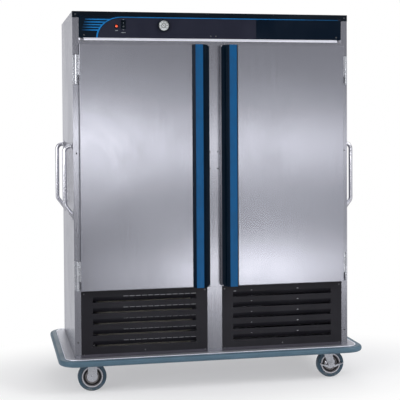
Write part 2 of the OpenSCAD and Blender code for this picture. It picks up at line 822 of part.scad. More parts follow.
// Condensing unit: a base tray, a fan shroud and a fan motor on its bracket
base_w = 560;
base_d = 470;
base_t = 3;
base_rim = 18;
coil_w = 500;
coil_h = 270;
coil_t = 44;
coil_in = 45;
coil_y = yf + coil_in;
coil_rise = 14;
coil_tube_r = 5;
coil_rows = 6;
shroud_d = 60;
shroud_gap = 6;
hub_depth = 36;
motor_r = 38;
motor_l = 70;
motor_gap = 4;
fan_z = deck_z + base_t + coil_rise + coil_h / 2;
fan_y = coil_y + coil_t + shroud_d - hub_depth;
motor_y = fan_y + hub_depth + motor_gap;
module condensing_unit_base() {
    color("gray") translate([unit_x, 0, deck_z]) difference() {
        block([-base_w / 2, coil_y - base_rim, 0],
            [base_w / 2, coil_y - base_rim + base_d, base_rim]);
        block([-base_w / 2 + base_t, coil_y - base_rim + base_t, base_t],
            [base_w / 2 - base_t, coil_y - base_rim + base_d - base_t, base_rim + over]);
    }
    color("dimgray") difference() {
        block([unit_x - coil_w / 2, coil_y + coil_t, deck_z + base_t],
            [unit_x + coil_w / 2, coil_y + coil_t + shroud_d, fan_z + coil_h / 2]);
        block([unit_x - coil_w / 2 + base_t, coil_y + coil_t - over, deck_z + 2 * base_t],
            [unit_x + coil_w / 2 - base_t, coil_y + coil_t + shroud_d - base_t,
            fan_z + coil_h / 2 - base_t]);
        translate([unit_x, coil_y, fan_z]) rod_y(cond_fan_r + shroud_gap, coil_t + shroud_d + over);
    }
    color("darkslategray") {
        translate([unit_x, motor_y, fan_z]) rod_y(motor_r, motor_l);
        translate([unit_x, fan_y, fan_z]) rod_y(shaft_r, motor_y - fan_y + over);
        block([unit_x - motor_r / 2, motor_y + motor_l / 3, deck_z + base_t],
            [unit_x + motor_r / 2, motor_y + motor_l * 2 / 3, fan_z]);
    }
}

module condenser_fan() {
    color("slategray") translate([unit_x, fan_y, fan_z])
        fan_rotor(cond_fan_r, motor_r * 0.6, hub_depth, 5);
}

// Compressor: a drawn steel can on three feet
can_r = 78;
can_h = 190;
can_edge = 40;
can_in = 110;
can_back = 190;
can_x = unit_x + can_in;
can_y = coil_y + coil_t + shroud_d + can_back;
module compressor() {
    foot_h = 16;
    foot_lap = 2;
    color([0.08, 0.08, 0.08]) translate([can_x, can_y, deck_z + base_t]) {
        translate([0, 0, foot_h]) rotate_extrude() union() {
            square([can_r - can_edge, can_h]);
            translate([0, can_edge]) square([can_r, can_h - 2 * can_edge]);
            for (z = [can_edge, can_h - can_edge]) intersection() {
                translate([can_r - can_edge, z]) circle(can_edge);
                square([can_r, can_h]);
            }
        }
        for (a = [30, 150, 270]) rotate([0, 0, a]) {
            translate([can_r * 0.8, 0, 0]) cylinder(r = foot_h / 2, h = foot_h + foot_lap);
            translate([0, -foot_h / 2, foot_h]) cube([can_r, foot_h, 2 * base_t]);
        }
    }
}

// Finned coil with return bends at its ends, drawn from its lower left front corner
module finned_coil(w, t, h, tube_r, rows) {
    pitch = h / (rows * 2);
    cube([w, t, h]);
    for (x = [0, w], i = [0 : rows - 1]) translate([x, t / 2, (i * 2 + 1) * pitch])
        rotate([90, 0, 0]) rotate([0, 0, x > 0 ? -90 : 90]) rotate_extrude(angle = 180)
            translate([pitch / 2, 0]) circle(tube_r);
}

module condenser_coil() {
    color("darkgoldenrod") translate([unit_x - coil_w / 2, coil_y, deck_z + base_t])
        finned_coil(coil_w, coil_t, coil_rise + coil_h, coil_tube_r, coil_rows);
}

// Evaporator under each compartment's ceiling: a cover, a coil, a motor and a fan
evap_w = 480;
evap_h = 130;
evap_d = 250;
evap_x = (room_x0 + room_x1) / 2;
evap_y = room_y1 - evap_d;
evap_z = room_z1 - evap_h;
evap_coil_t = 60;
evap_tube_r = 4;
evap_rows = 4;
evap_hub = 24;
evap_ring = 4;
evap_axis_z = evap_z + evap_h / 2;
module evaporator_covers() {
    color("lightgray") both_sides() {
        difference() {
            block([evap_x - evap_w / 2, evap_y, evap_z],
                [evap_x + evap_w / 2, room_y1, room_z1]);
            block([evap_x - evap_w / 2 + liner_t, evap_y + liner_t, evap_z + liner_t],
                [evap_x + evap_w / 2 - liner_t, room_y1 + over, room_z1 + over]);
            translate([evap_x, evap_y - over, evap_axis_z])
                rod_y(evap_fan_r + evap_ring, liner_t + 2 * over);
            for (i = [-4 : 4]) translate([evap_x + i * evap_w / 10, room_y1 - evap_d / 4,
                evap_z]) cube([evap_w / 20, evap_d / 3, 3 * liner_t], center = true);
        }
        translate([evap_x, evap_y + liner_t + evap_hub, evap_axis_z])
            rod_y(evap_fan_r * 0.45, evap_d / 4);
        translate([evap_x, evap_y + liner_t, evap_axis_z]) rod_y(shaft_r, evap_hub + over);
        block([evap_x - shaft_r, evap_y + liner_t + evap_hub + evap_d / 16, evap_axis_z],
            [evap_x + shaft_r, evap_y + liner_t + evap_hub + evap_d / 8, room_z1]);
    }
}

module evaporator_coils() {
    color("goldenrod") both_sides()
        translate([evap_x - evap_w / 2 + 3 * liner_t + evap_coil_t / 4,
            room_y1 - evap_coil_t - liner_t, evap_z + liner_t])
            finned_coil(evap_w - 6 * liner_t - evap_coil_t / 2, evap_coil_t,
                evap_h - liner_t - 2 * gap, evap_tube_r, evap_rows);
}

module evaporator_fan() {
    translate([evap_x, evap_y + liner_t, evap_axis_z])
        fan_rotor(evap_fan_r, evap_fan_r * 0.3, evap_hub - gap, 5);
}

module evaporator_fan_left() {
    color("slategray") on_side(-1) evaporator_fan();
}

module evaporator_fan_right() {
    color("slategray") evaporator_fan();
}

// Flanged power inlet in the back panel
module power_inlet() {
    color("black") translate([-unit_x, yb, deck_z + inlet_rise]) difference() {
        union() {
            rod_y(inlet_r + inlet_flange, base_t);
            translate([0, -body_back, 0]) rod_y(inlet_r - gap, body_back + over);
            rod_y(inlet_r, 4 * base_t);
        }
        rod_y(inlet_r - base_t, 5 * base_t);
    }
}

// Wheels, drawn round the origin with the axle along Y
module wheel_rim() {
    half = wheel_w / 2;
    color("lightgray") rotate([90, 0, 0]) rotate_extrude() difference() {
        union() {
            translate([0, -hub_half]) square([rim_r * 0.32, 2 * hub_half]);
            translate([0, -half * 0.35]) square([rim_r, half * 0.7]);
            translate([rim_r * 0.55, -half * 0.55]) square([rim_r * 0.09, half * 1.1]);
            translate([rim_r * 0.85, -half * 0.88]) square([rim_r * 0.15, half * 1.76]);
        }
        translate([-axle_r, -2 * hub_half]) square([2 * axle_r + run_fit, 4 * hub_half]);
        translate([-rim_r, -wheel_w]) square([rim_r, 2 * wheel_w]);
    }
}

module wheel_tyre() {
    shoulder = 8;
    half = wheel_w / 2;
    color([0.1, 0.22, 0.28]) rotate([90, 0, 0]) rotate_extrude() difference() {
        union() {
            translate([rim_r + run_fit, -half]) square([wheel_r - shoulder - rim_r, wheel_w]);
            translate([rim_r + run_fit, -half + shoulder])
                square([wheel_r - rim_r - run_fit, wheel_w - 2 * shoulder]);
            for (s = [-1, 1]) translate([wheel_r - shoulder, s * (half - shoulder)])
                circle(shoulder);
        }
        translate([-wheel_r, -wheel_w]) square([wheel_r + rim_r + run_fit, 2 * wheel_w]);
    }
}

module axle_bolt(extra) {
    reach = leg_y + leg_t;
    translate([0, -reach - extra, 0]) {
        rod_y(axle_r, 2 * reach + extra);
        translate([0, -head_h, 0]) rotate([-90, 0, 0]) cylinder(r = head_r, h = head_h, $fn = 6);
    }
    translate([0, reach, 0]) rotate([-90, 0, 0]) cylinder(r = head_r, h = head_h, $fn = 6);
}

// Rigid casters: a plate with two straight legs, and the axle bolt
module rigid_caster() {
    difference() {
        union() {
            block([-plate_l / 2, -plate_w / 2, caster_h - plate_t],
                [plate_l / 2, plate_w / 2, caster_h]);
            for (y = [-leg_y - leg_t, leg_y]) {
                block([-leg_w / 2, y, wheel_r], [leg_w / 2, y + leg_t, caster_h - plate_t]);
                translate([0, y, wheel_r]) rod_y(leg_w / 2, leg_t);
            }
        }
        translate([0, -plate_w, wheel_r]) rod_y(axle_r + run_fit, 2 * plate_w);
    }
    translate([0, 0, wheel_r]) axle_bolt(0);
}

module rigid_casters() {
    color("gainsboro") both_ends() translate([rigid_x, wheel_y, 0]) rigid_caster();
}

module wheel_rigid_front() translate([rigid_x, wheel_y, wheel_r]) wheel_rim();

module tyre_rigid_front() translate([rigid_x, wheel_y, wheel_r]) wheel_tyre();

module wheel_rigid_back() translate([rigid_x, -wheel_y, wheel_r]) wheel_rim();

module tyre_rigid_back() translate([rigid_x, -wheel_y, wheel_r]) wheel_tyre();

// Swivel casters: a fixed plate with its race and kingpin, and a fork below it
crown_z = 2 * wheel_r + wheel_clear + kingpin_head_h + gap;
race_z = caster_h - plate_t - race_h;
module swivel_plate() {
    block([-plate_l / 2, -plate_w / 2, caster_h - plate_t], [plate_l / 2, plate_w / 2, caster_h]);
    translate([0, 0, race_z]) cylinder(r = race_r - race_lip, h = race_h + over);
    translate([0, 0, crown_z - gap]) cylinder(r = kingpin_r, h = caster_h - plate_t - crown_z);
    translate([0, 0, crown_z - gap - kingpin_head_h])
        cylinder(r = kingpin_r + kingpin_lip, h = kingpin_head_h);
}

module swivel_plates() {
    color("gainsboro") both_ends() translate([swivel_x, wheel_y, 0]) swivel_plate();
}

module swivel_fork() {
    top_w = race_r * 1.5;
    foot_r = 18;
    difference() {
        union() {
            translate([0, 0, crown_z]) cylinder(r = race_r, h = race_z - gap - crown_z);
            for (y = [-leg_y - leg_t, leg_y]) {
                translate([0, y + leg_t, 0]) rotate([90, 0, 0]) linear_extrude(leg_t) polygon([
                    [-top_w / 2, crown_z + crown_t], [top_w / 2, crown_z + crown_t],
                    [swivel_lead + foot_r, wheel_r], [swivel_lead - foot_r, wheel_r]
                ]);
                translate([swivel_lead, y, wheel_r]) rod_y(foot_r, leg_t);
            }
        }
        translate([0, 0, crown_z - over]) cylinder(r = kingpin_r + run_fit, h = caster_h);
        translate([swivel_lead, -plate_w, wheel_r]) rod_y(axle_r + run_fit, 2 * plate_w);
    }
    translate([swivel_lead, 0, wheel_r]) axle_bolt(lever_t + 2 * gap);
}

module swivel_fork_front() {
    color("gainsboro") translate([swivel_x, wheel_y, 0]) swivel_fork();
}

module swivel_fork_back() mirror([0, 1, 0]) swivel_fork_front();

// Brake lever: a winged pedal on the axle bolt, outside the fork's outer leg
wing_share = [
    [0, 0.1], [0.3, -0.12], [0.6, -0.02], [1, 0.1], [0.98, -0.04], [0.62, -0.16], [0.3, -0.3],
    [0, -0.1]
];
module brake_lever() {
    y0 = -leg_y - leg_t - gap;
    color("gainsboro") difference() {
        union() {
            translate([0, y0 - lever_t, 0]) rod_y(lever_r, lever_t);
            for (s = [-1, 1]) mirror([s < 0 ? 1 : 0, 0, 0]) {
                translate([0, y0, 0]) rotate([90, 0, 0]) linear_extrude(lever_t)
                    polygon([for (p = wing_share) p * lever_half]);
                translate([lever_half * 0.62, y0 - pad_d, -lever_half * 0.06])
                    rotate([0, -12, 0]) cube([lever_half * 0.34, pad_d, lever_t]);
            }
        }
        translate([0, -plate_w, 0]) rod_y(axle_r + run_fit, plate_w);
    }
}

module brake_lever_front() translate([swivel_x + swivel_lead, wheel_y, wheel_r]) brake_lever();

module brake_lever_back() mirror([0, 1, 0]) brake_lever_front();

module wheel_swivel_front() {
    translate([swivel_x + swivel_lead, wheel_y, wheel_r]) wheel_rim();
}

module tyre_swivel_front() {
    translate([swivel_x + swivel_lead, wheel_y, wheel_r]) wheel_tyre();
}

module wheel_swivel_back() mirror([0, 1, 0]) wheel_swivel_front();

module tyre_swivel_back() mirror([0, 1, 0]) tyre_swivel_front();

deck();
bumper();
side_panel_left();
side_panel_right();
back_panel();
top_panel();
partitions();
face_frame();
liners();
insulation();
face_panel();
top_trim();
pilot_light();
switch_housing();
switch_rocker();
thermometer_case();
thermometer_dial();
thermometer_glass();
thermometer_needle();
grilles();
screws();
hinge_frame_leaves();
side_handles();
tray_racks();
condensing_unit_base();
compressor();
condenser_coil();
condenser_fan();
evaporator_covers();
evaporator_coils();
evaporator_fan_left();
evaporator_fan_right();
power_inlet();
door_left_panel();
door_left_liner();
door_left_gasket();
door_left_handle();
door_left_insert();
door_left_hinge_leaves();
door_right_panel();
door_right_liner();
door_right_gasket();
door_right_handle();
door_right_insert();
door_right_hinge_leaves();
rigid_casters();
wheel_rigid_front();
tyre_rigid_front();
wheel_rigid_back();
tyre_rigid_back();
swivel_plates();
swivel_fork_front();
brake_lever_front();
wheel_swivel_front();
tyre_swivel_front();
swivel_fork_back();
brake_lever_back();
wheel_swivel_back();
tyre_swivel_back();
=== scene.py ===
"""Finishes and fine shapes of an enclosed meal tray cart, laid over its solid parts."""

import json
import math

import bmesh
import bpy
from bpy.props import FloatProperty, FloatVectorProperty, IntProperty, PointerProperty
from mathutils import Matrix, Vector


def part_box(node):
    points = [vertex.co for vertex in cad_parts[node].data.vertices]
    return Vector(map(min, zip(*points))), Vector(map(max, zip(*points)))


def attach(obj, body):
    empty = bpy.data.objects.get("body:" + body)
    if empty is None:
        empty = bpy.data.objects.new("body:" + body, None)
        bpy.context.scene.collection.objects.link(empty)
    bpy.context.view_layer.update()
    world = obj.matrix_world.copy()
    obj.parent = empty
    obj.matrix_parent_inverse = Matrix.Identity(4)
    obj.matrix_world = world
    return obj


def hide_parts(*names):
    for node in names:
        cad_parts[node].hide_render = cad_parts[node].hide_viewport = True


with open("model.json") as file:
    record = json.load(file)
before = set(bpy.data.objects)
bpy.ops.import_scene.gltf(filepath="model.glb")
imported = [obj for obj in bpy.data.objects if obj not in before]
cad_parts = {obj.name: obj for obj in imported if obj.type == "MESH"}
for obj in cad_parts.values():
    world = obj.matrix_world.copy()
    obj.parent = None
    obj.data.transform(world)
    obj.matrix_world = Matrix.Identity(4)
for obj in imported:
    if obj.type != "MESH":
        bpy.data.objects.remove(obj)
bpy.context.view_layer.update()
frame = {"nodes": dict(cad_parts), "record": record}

bl_info = {
    "name": "Meal Tray Cart Finishes",
    "version": (1, 0, 0),
    "blender": (4, 5, 0),
    "location": "3D View > Sidebar > Tray Cart",
    "description": "Dresses a two-door meal tray cart in its sheet steel, handles and controls",
    "category": "Object",
}

SLOT_OF_NODE = {part["node"]: part["material_slot"] for part in frame["record"]["subparts"]}
BODY_OF_NODE = {
    node: body
    for body, nodes in frame["record"]["behaviour"]["bodies"].items()
    for node in nodes
}
SIDES = {"left": -1, "right": 1}
# Vertices closer than this, in metres, are one
MERGE = 1e-6
# Faces that turn less than this, in degrees, are one flat face
FLAT = 0.5
# Sides of a round wire
WIRE_SIDES = 8
# A Mix node's sockets for colours, by number: its share and two colours, and its result
MIX_IN = (0, 6, 7)
MIX_OUT = 2


def length(name, description, default):
    """A size in metres that a user can set."""
    return FloatProperty(
        name=name, description=description, default=default, min=0, unit="LENGTH", precision=4
    )


def colour(name, description, default):
    """A linear colour that a user can set."""
    return FloatVectorProperty(
        name=name, description=description, subtype="COLOR", size=3, min=0, max=1, default=default
    )


def fraction(name, description, default):
    """A share from none to all that a user can set."""
    return FloatProperty(
        name=name, description=description, subtype="FACTOR", min=0, max=1, default=default
    )


def power(name, description, default):
    """A lamp's power in watts that a user can set."""
    return FloatProperty(
        name=name, description=description, default=default, min=0, unit="POWER"
    )


class CartSizes(bpy.types.PropertyGroup):
    """Sizes of the rounded edges, ribs and printed marks."""

    sheet_edge: length("Sheet edge", "Radius of a folded sheet's edges", 0.0025)
    cast_edge: length("Stamping edge", "Radius of the edges of plates and brackets", 0.0008)
    fine_edge: length("Fine edge", "Radius of the edges of thin ledges and louvres", 0.0004)
    door_wall: length("Door wall", "Thickness of a door's outer pan", 0.002)
    grip_width: length("Grip width", "Width of a handle beside its coloured strip", 0.038)
    grip_lip: length("Grip lip", "Width of the sloped lip that the fingers pull", 0.017)
    grip_drop: length("Lip drop", "Fall of the lip from the handle's face", 0.006)
    grip_wall: length("Grip wall", "Wall between the finger recess and the strip", 0.006)
    grip_floor: length("Grip floor", "Thickness of the handle behind the finger recess", 0.005)
    rib_depth: length("Rib depth", "Depth of the grooves along the lip", 0.0014)
    strip_width: length("Strip width", "Width of the coloured strip in a handle", 0.041)
    strip_recess: length("Strip recess", "Depth of the coloured strip's seat", 0.002)
    end_cut: length("End cut", "Chamfer at the ends of a handle", 0.0099)
    hinge_height: length("Hinge height", "Height of a hinge's frame leaf", 0.152)
    hinge_leaf: length("Hinge leaf", "Thickness of a hinge's frame leaf", 0.003)
    hinge_pin_drop: length("Pin drop", "How far a hinge's pin ends below its top", 0.004)
    hinge_inset: length("Hinge screw inset", "From a leaf's outer edge to its screws", 0.0055)
    # The deck's rolled edge is a rod whose bright steel paints its highlight
    deck_edge: length("Deck edge", "Radius of the deck's bright rolled edge", 0.0022)
    deck_corner: length("Deck corner", "Corner radius of the deck", 0.065)
    # The drip lip's sizes below shape a thin slab of bright steel that paints the lip's highlight
    drip_out: length("Drip lip reach", "How far the drip lip stands out", 0.010)
    drip_height: length("Drip lip height", "Height of the drip lip", 0.014)
    drip_mitre: length("Drip lip mitre", "Length of the lip's slanting ends", 0.024)
    film: length("Film thickness", "Thickness of the printed film's marks", 0.0004)
    stripe_height: length("Stripe height", "Height of a printed stripe", 0.0062)
    stripe_pitch: length("Stripe pitch", "Distance between the printed stripes", 0.0139)
    stripe_top: length("First stripe", "Height of the first stripe over the panel's foot", 0.0955)
    stripe_start: length("Stripe start", "Distance of the first stripe from the panel's end", 0.033)
    stripe_lean: length("Stripe lean", "Distance that each next stripe starts further out", 0.0048)
    arc_width: length("Arc width", "Width of the printed quarter arc", 0.132)
    arc_height: length("Arc height", "Height of the printed quarter arc", 0.108)
    arc_inset: length("Arc inset", "Distance of the arc's crown from the panel's end", 0.226)
    arc_foot: length("Arc foot", "Breadth of the arc at its foot", 0.009)
    line_height: length("Line height", "Height of the line along the control panel", 0.0042)
    line_end: length("Line end", "Distance of the line's end from the panel's end", 0.016)
    seam_inset: length("Seam inset", "Distance of the film's seam from the panel's right end", 0.478)
    seam_width: length("Seam width", "Width of the film's seam", 0.0009)
    fade_start: length("Fade start", "Where the stripes begin to show, left of the middle", 0.712)
    fade_end: length("Fade end", "Where the stripes show in full, left of the middle", 0.625)
    dim_start: length("Dim start", "Where the line begins to dim, right of the middle", 0.10)
    dim_end: length("Dim end", "Where the line is dimmest, right of the middle", 0.70)
    # The sizes below, of the tabs over the louvres, are of bright dashes that paint highlights on
    # the louvres' top bends
    glint_pitch: length("Tab pitch", "Distance between the tabs over a louvre", 0.033)
    glint_length: length("Tab length", "Length of a tab over a louvre", 0.026)
    glint_height: length("Tab height", "Height of a tab over a louvre", 0.0016)
    glint_lift: length("Tab lift", "Height of a row of tabs over its louvre's line", 0.026)
    glint_rise: length("Tab rise", "Height of a lone tab over its row", 0.0045)
    glint_start: length("First tab", "Distance of a row's first tab from the middle", 0.480)
    glint_drop: length("Top tab drop", "Distance of the topmost tab from the grille's top", 0.030)
    flange: length("Flange", "Height of the folded lip at a grille's foot", 0.016)
    flange_start: length("Flange start", "Inner end of the lip, from the middle", 0.041)
    flange_end: length("Flange end", "Outer end of the lip, from the middle", 0.715)
    wire: length("Guard wire", "Thickness of a fan guard's wire", 0.0022)
    guard_reach: length("Guard reach", "How far a guard stands past its fan", 0.008)
    pin_circle: length("Pin circle", "Radius of the circle that the inlet's pins stand on", 0.0065)
    pin_radius: length("Pin radius", "Radius of an inlet pin", 0.0016)
    pin_foot: length("Pin foot", "Depth of a pin's foot behind the back panel's face", 0.004)
    pin_out: length("Pin length", "How far a pin stands out from the back panel", 0.005)
    hinge_screw: length("Hinge screw", "Radius of a hinge screw's head", 0.0042)
    shoulder: length("Tyre shoulder", "Radius of a tyre's shoulder", 0.008)
    tyre_gap: length("Tyre gap", "Gap between a tyre and its wheel", 0.0002)
    tyre_step: length("Tyre step", "Size of the chamfer at a tyre's foot", 0.002)
    tyre_sink: length("Tyre sink", "Depth of a tyre's foot below its raised line", 0.0008)
    tyre_line: length("Tyre line", "Distance of the raised line from the rim", 0.0045)
    tyre_slope: length("Tyre slope", "Width of the slope up to the raised line", 0.0007)
    mark_seat: length("Mark seat", "Depth of the rocker's ridge behind its ends", 0.0028)
    mark_rise: length("Mark rise", "How far the bar stands out of the rocker", 0.0002)
    mark_ring_rise: length("Ring mark rise", "How much further the ring stands out", 0.0006)
    mark_reach: length("Mark reach", "Distance of the marks from the rocker's middle", 0.0095)
    legend_gap: length("Legend gap", "Gap from the switch to the marks by it", 0.0040)
    legend_width: length("Legend width", "Half width of the marks by the switch", 0.0030)
    legend_height: length("Legend height", "Half height of the marks by the switch", 0.0012)
    bar_drop: length("Bar drop", "Distance of the bar below the switch", 0.0190)
    bar_height: length("Bar height", "Half height of the bar below the switch", 0.0014)
    lamp_drop: length("Lamp mark drop", "Distance of the lamp's mark below its middle", 0.0225)
    lamp_width: length("Lamp mark width", "Half width of the lamp's mark", 0.0070)
    lamp_height: length("Lamp mark height", "Half height of the lamp's mark", 0.0016)
    dial_tick: length("Dial tick", "Width of a dial's scale mark", 0.0009)
    dial_text: length("Dial number", "Height of a dial's numbers", 0.0066)
    rib_count: IntProperty(name="Lip ribs", description="Grooves along a handle's lip", default=3)
    stripe_count: IntProperty(name="Stripes", description="Printed stripes", default=5)


class CartColours(bpy.types.PropertyGroup):
    """Colours of the finishes."""

    steel: colour("Sheet steel", "Satin stainless sheet", (0.322, 0.325, 0.360))
    door_steel: colour("Door steel", "Satin stainless sheet of the doors", (0.340, 0.344, 0.385))
    liner: colour("Liner steel", "Bright sheet inside the compartments", (0.47, 0.47, 0.50))
    zinc: colour("Plated steel", "Zinc plate on casters, hinges and screws", (0.52, 0.53, 0.56))
    tube: colour("Handle tube", "Polished tube of the side handles", (0.60, 0.60, 0.64))
    panel: colour("Control film", "Dark film of the control panel", (0.014, 0.0155, 0.027))
    teal: colour("Teal field", "Film outside the printed arc", (0.0012, 0.0055, 0.012))
    navy: colour("Navy field", "Film on the right of the seam", (0.0006, 0.0045, 0.012))
    band: colour("Top band", "Dark strip over the control panel", (0.0006, 0.0035, 0.0075))
    blue: colour("Bright blue", "Stripes, arc and the handles' strips", (0.004, 0.070, 0.190))
    grip: colour("Handle", "Dark vinyl of the door handles", (0.0003, 0.0060, 0.0150))
    bumper: colour("Bumper", "Slate blue vinyl of the bumper", (0.070, 0.122, 0.165))
    tyre: colour("Tyre", "Dark blue-grey rubber", (0.020, 0.050, 0.078))
    core: colour("Wheel core", "Grey nylon of the wheel cores", (0.20, 0.185, 0.19))
    grille: colour("Grille", "Black baked paint", (0.011, 0.0105, 0.014))
    plastic: colour("Black plastic", "Black moulded plastic", (0.010, 0.010, 0.012))
    lens: colour("Pilot lens", "Orange-red lens", (0.80, 0.050, 0.008))
    white: colour("Dial white", "Enamel of the dial", (0.93, 0.94, 0.95))
    dust: colour("Dust", "Pale dust low on the cart", (0.30, 0.29, 0.27))


class CartStudio(bpy.types.PropertyGroup):
    """Camera and studio light."""

    camera_place: FloatVectorProperty(
        name="Camera", description="Place of the camera", size=3, unit="LENGTH",
        default=(-1.1828, -5.6996, 1.4332),
    )
    yaw: FloatProperty(
        name="Yaw", description="Turn of the camera towards +X", unit="ROTATION",
        default=math.radians(11.742),
    )
    pitch: FloatProperty(
        name="Pitch", description="Tilt of the camera above the horizon", unit="ROTATION",
        default=math.radians(-1.673),
    )
    roll: FloatProperty(
        name="Roll", description="Roll of the camera", unit="ROTATION",
        default=math.radians(-0.333),
    )
    lens: FloatProperty(
        name="Lens", description="Focal length in millimetres", unit="CAMERA", default=91.77
    )
    sensor: FloatProperty(
        name="Sensor", description="Frame width in millimetres", unit="CAMERA", default=36
    )
    rise: FloatProperty(
        name="Rise", description="Vertical shift of the frame", min=-1, max=1, default=-0.125
    )
    ambient: fraction("Ambient", "Strength of the even light all round", 0.42)
    front: fraction("Front", "Brightness that gloss sees at the horizon in front", 0.49)
    horizon: fraction("Horizon", "Brightness that gloss sees at the horizon behind", 0.9)
    haze: fraction("Haze", "Brightness that gloss sees above the horizon", 0.35)
    ceiling: fraction("Ceiling", "Brightness that gloss sees overhead", 0.95)
    key: power("Key lamp", "Power of the key lamp in watts", 230)
    fill: power("Fill lamp", "Power of the fill lamp in watts", 150)
    back: power("Back lamp", "Power of the back lamp in watts", 110)
    glow: FloatProperty(
        name="Strip lamps", description="Level of the soft strips in front of the doors",
        min=0, max=10, default=1,
    )
    floor: colour("Floor", "Pale floor", (0.84, 0.84, 0.86))
    tint: colour("Tint", "Tint of the surroundings in reflections", (0.95, 0.955, 1.0))
    floor_glow: fraction("Floor glow", "Share of plain white in the floor's look", 0.38)
    floor_gloss: fraction("Floor gloss", "Brightness of the floor in reflections", 0.42)
    floor_side: fraction("Floor sides", "The same, beside and behind the cart", 0.78)


# Shader building

def add_node(tree, kind, **settings):
    """Add a shader node and set its options."""
    node = tree.nodes.new("ShaderNode" + kind)
    for name, value in settings.items():
        setattr(node, name, value)
    return node


def feed(tree, socket, value):
    """Link a socket to another one, or set its plain value."""
    if isinstance(value, bpy.types.NodeSocket):
        tree.links.new(value, socket)
    elif socket.type == "RGBA":
        socket.default_value = (*value, 1.0)
    else:
        socket.default_value = value


def math_node(tree, operation, first, second=0.0):
    """Work out one sum of two values or sockets."""
    node = add_node(tree, "Math", operation=operation)
    feed(tree, node.inputs[0], first)
    feed(tree, node.inputs[1], second)
    return node.outputs[0]


def ramp_node(tree, value, low, high, start=0.0, end=1.0):
    """Map a value smoothly from one range to another."""
    node = add_node(tree, "MapRange", interpolation_type="SMOOTHSTEP")
    names = ("Value", "From Min", "From Max", "To Min", "To Max")
    for name, number in zip(names, (value, low, high, start, end)):
        feed(tree, node.inputs[name], number)
    return node.outputs["Result"]


def mix_node(tree, share, first, second):
    """Mix two colours."""
    node = add_node(tree, "Mix", data_type="RGBA")
    for number, value in zip(MIX_IN, (share, first, second)):
        feed(tree, node.inputs[number], value)
    return node.outputs[MIX_OUT]


def noise_node(tree, vector, scale, detail=3.0, roughness=0.55, distortion=0.0):
    """A noise value on a vector."""
    node = add_node(tree, "TexNoise")
    names = ("Vector", "Scale", "Detail", "Roughness", "Distortion")
    for name, value in zip(names, (vector, scale, detail, roughness, distortion)):
        feed(tree, node.inputs[name], value)
    return node.outputs["Fac"]


def scaled_vector(tree, vector, scale):
    """Stretch a vector by another one."""
    node = add_node(tree, "VectorMath", operation="MULTIPLY")
    tree.links.new(vector, node.inputs[0])
    tree.links.new(scale, node.inputs[1])
    return node.outputs[0]


def new_group(name, inputs, outputs):
    """An empty shader group with named inputs and outputs."""
    tree = bpy.data.node_groups.new(name, "ShaderNodeTree")
    kinds = {float: "NodeSocketFloat", tuple: "NodeSocketVector", str: "NodeSocketColor"}
    for label, value in inputs.items():
        socket = tree.interface.new_socket(
            label, in_out="INPUT", socket_type=kinds[type(value)]
        )
        if not isinstance(value, str):
            socket.default_value = value
    for label, kind in outputs.items():
        tree.interface.new_socket(label, in_out="OUTPUT", socket_type=kinds[kind])
    return tree, tree.nodes.new("NodeGroupInput"), tree.nodes.new("NodeGroupOutput")


def brushed_grain():
    """Fine streaks of satin sheet, stretched along the rolling direction."""
    tree, given, made = new_group(
        "brushed grain",
        {"Vector": (0.0, 0.0, 0.0), "Base": "colour", "Stretch": (900.0, 900.0, 9.0),
         "Contrast": 0.05, "Roughness": 0.3, "Spread": 0.1},
        {"Color": str, "Roughness": float, "Height": float},
    )
    stretched = scaled_vector(tree, given.outputs["Vector"], given.outputs["Stretch"])
    streak = noise_node(tree, stretched, 1.0, detail=4.0, roughness=0.65)
    low = math_node(tree, "SUBTRACT", 1.0, given.outputs["Contrast"])
    high = math_node(tree, "ADD", 1.0, given.outputs["Contrast"])
    shade = ramp_node(tree, streak, 0.3, 0.7, start=low, end=high)
    tint = add_node(tree, "VectorMath", operation="SCALE")
    tree.links.new(given.outputs["Base"], tint.inputs[0])
    tree.links.new(shade, tint.inputs["Scale"])
    off = math_node(tree, "SUBTRACT", streak, 0.5)
    change = math_node(tree, "MULTIPLY", off, given.outputs["Spread"])
    rough = math_node(tree, "ADD", given.outputs["Roughness"], change)
    tree.links.new(tint.outputs[0], made.inputs["Color"])
    tree.links.new(rough, made.inputs["Roughness"])
    tree.links.new(streak, made.inputs["Height"])
    return tree


def wipe_marks():
    """Soft clouds left by wiping and handling."""
    tree, given, made = new_group(
        "wipe marks",
        {"Vector": (0.0, 0.0, 0.0), "Base": "colour", "Tint": "colour", "Scale": 3.0,
         "Amount": 0.1, "Roughness": 0.3, "Dulling": 0.08},
        {"Color": str, "Roughness": float},
    )
    cloud = noise_node(tree, given.outputs["Vector"], given.outputs["Scale"], distortion=0.4)
    mask = ramp_node(tree, cloud, 0.42, 0.68)
    share = math_node(tree, "MULTIPLY", mask, given.outputs["Amount"])
    mixed = mix_node(tree, share, given.outputs["Base"], given.outputs["Tint"])
    change = math_node(tree, "MULTIPLY", mask, given.outputs["Dulling"])
    rough = math_node(tree, "ADD", given.outputs["Roughness"], change)
    tree.links.new(mixed, made.inputs["Color"])
    tree.links.new(rough, made.inputs["Roughness"])
    return tree


def moulded_grain():
    """Pebbled skin of moulded vinyl, rubber and plastic."""
    tree, given, made = new_group(
        "moulded grain",
        {"Vector": (0.0, 0.0, 0.0), "Scale": 700.0},
        {"Height": float},
    )
    pebble = add_node(tree, "TexVoronoi", feature="SMOOTH_F1")
    tree.links.new(given.outputs["Vector"], pebble.inputs["Vector"])
    tree.links.new(given.outputs["Scale"], pebble.inputs["Scale"])
    fine = noise_node(tree, given.outputs["Vector"], given.outputs["Scale"], detail=2.0)
    tree.links.new(math_node(tree, "ADD", pebble.outputs["Distance"], fine), made.inputs["Height"])
    return tree


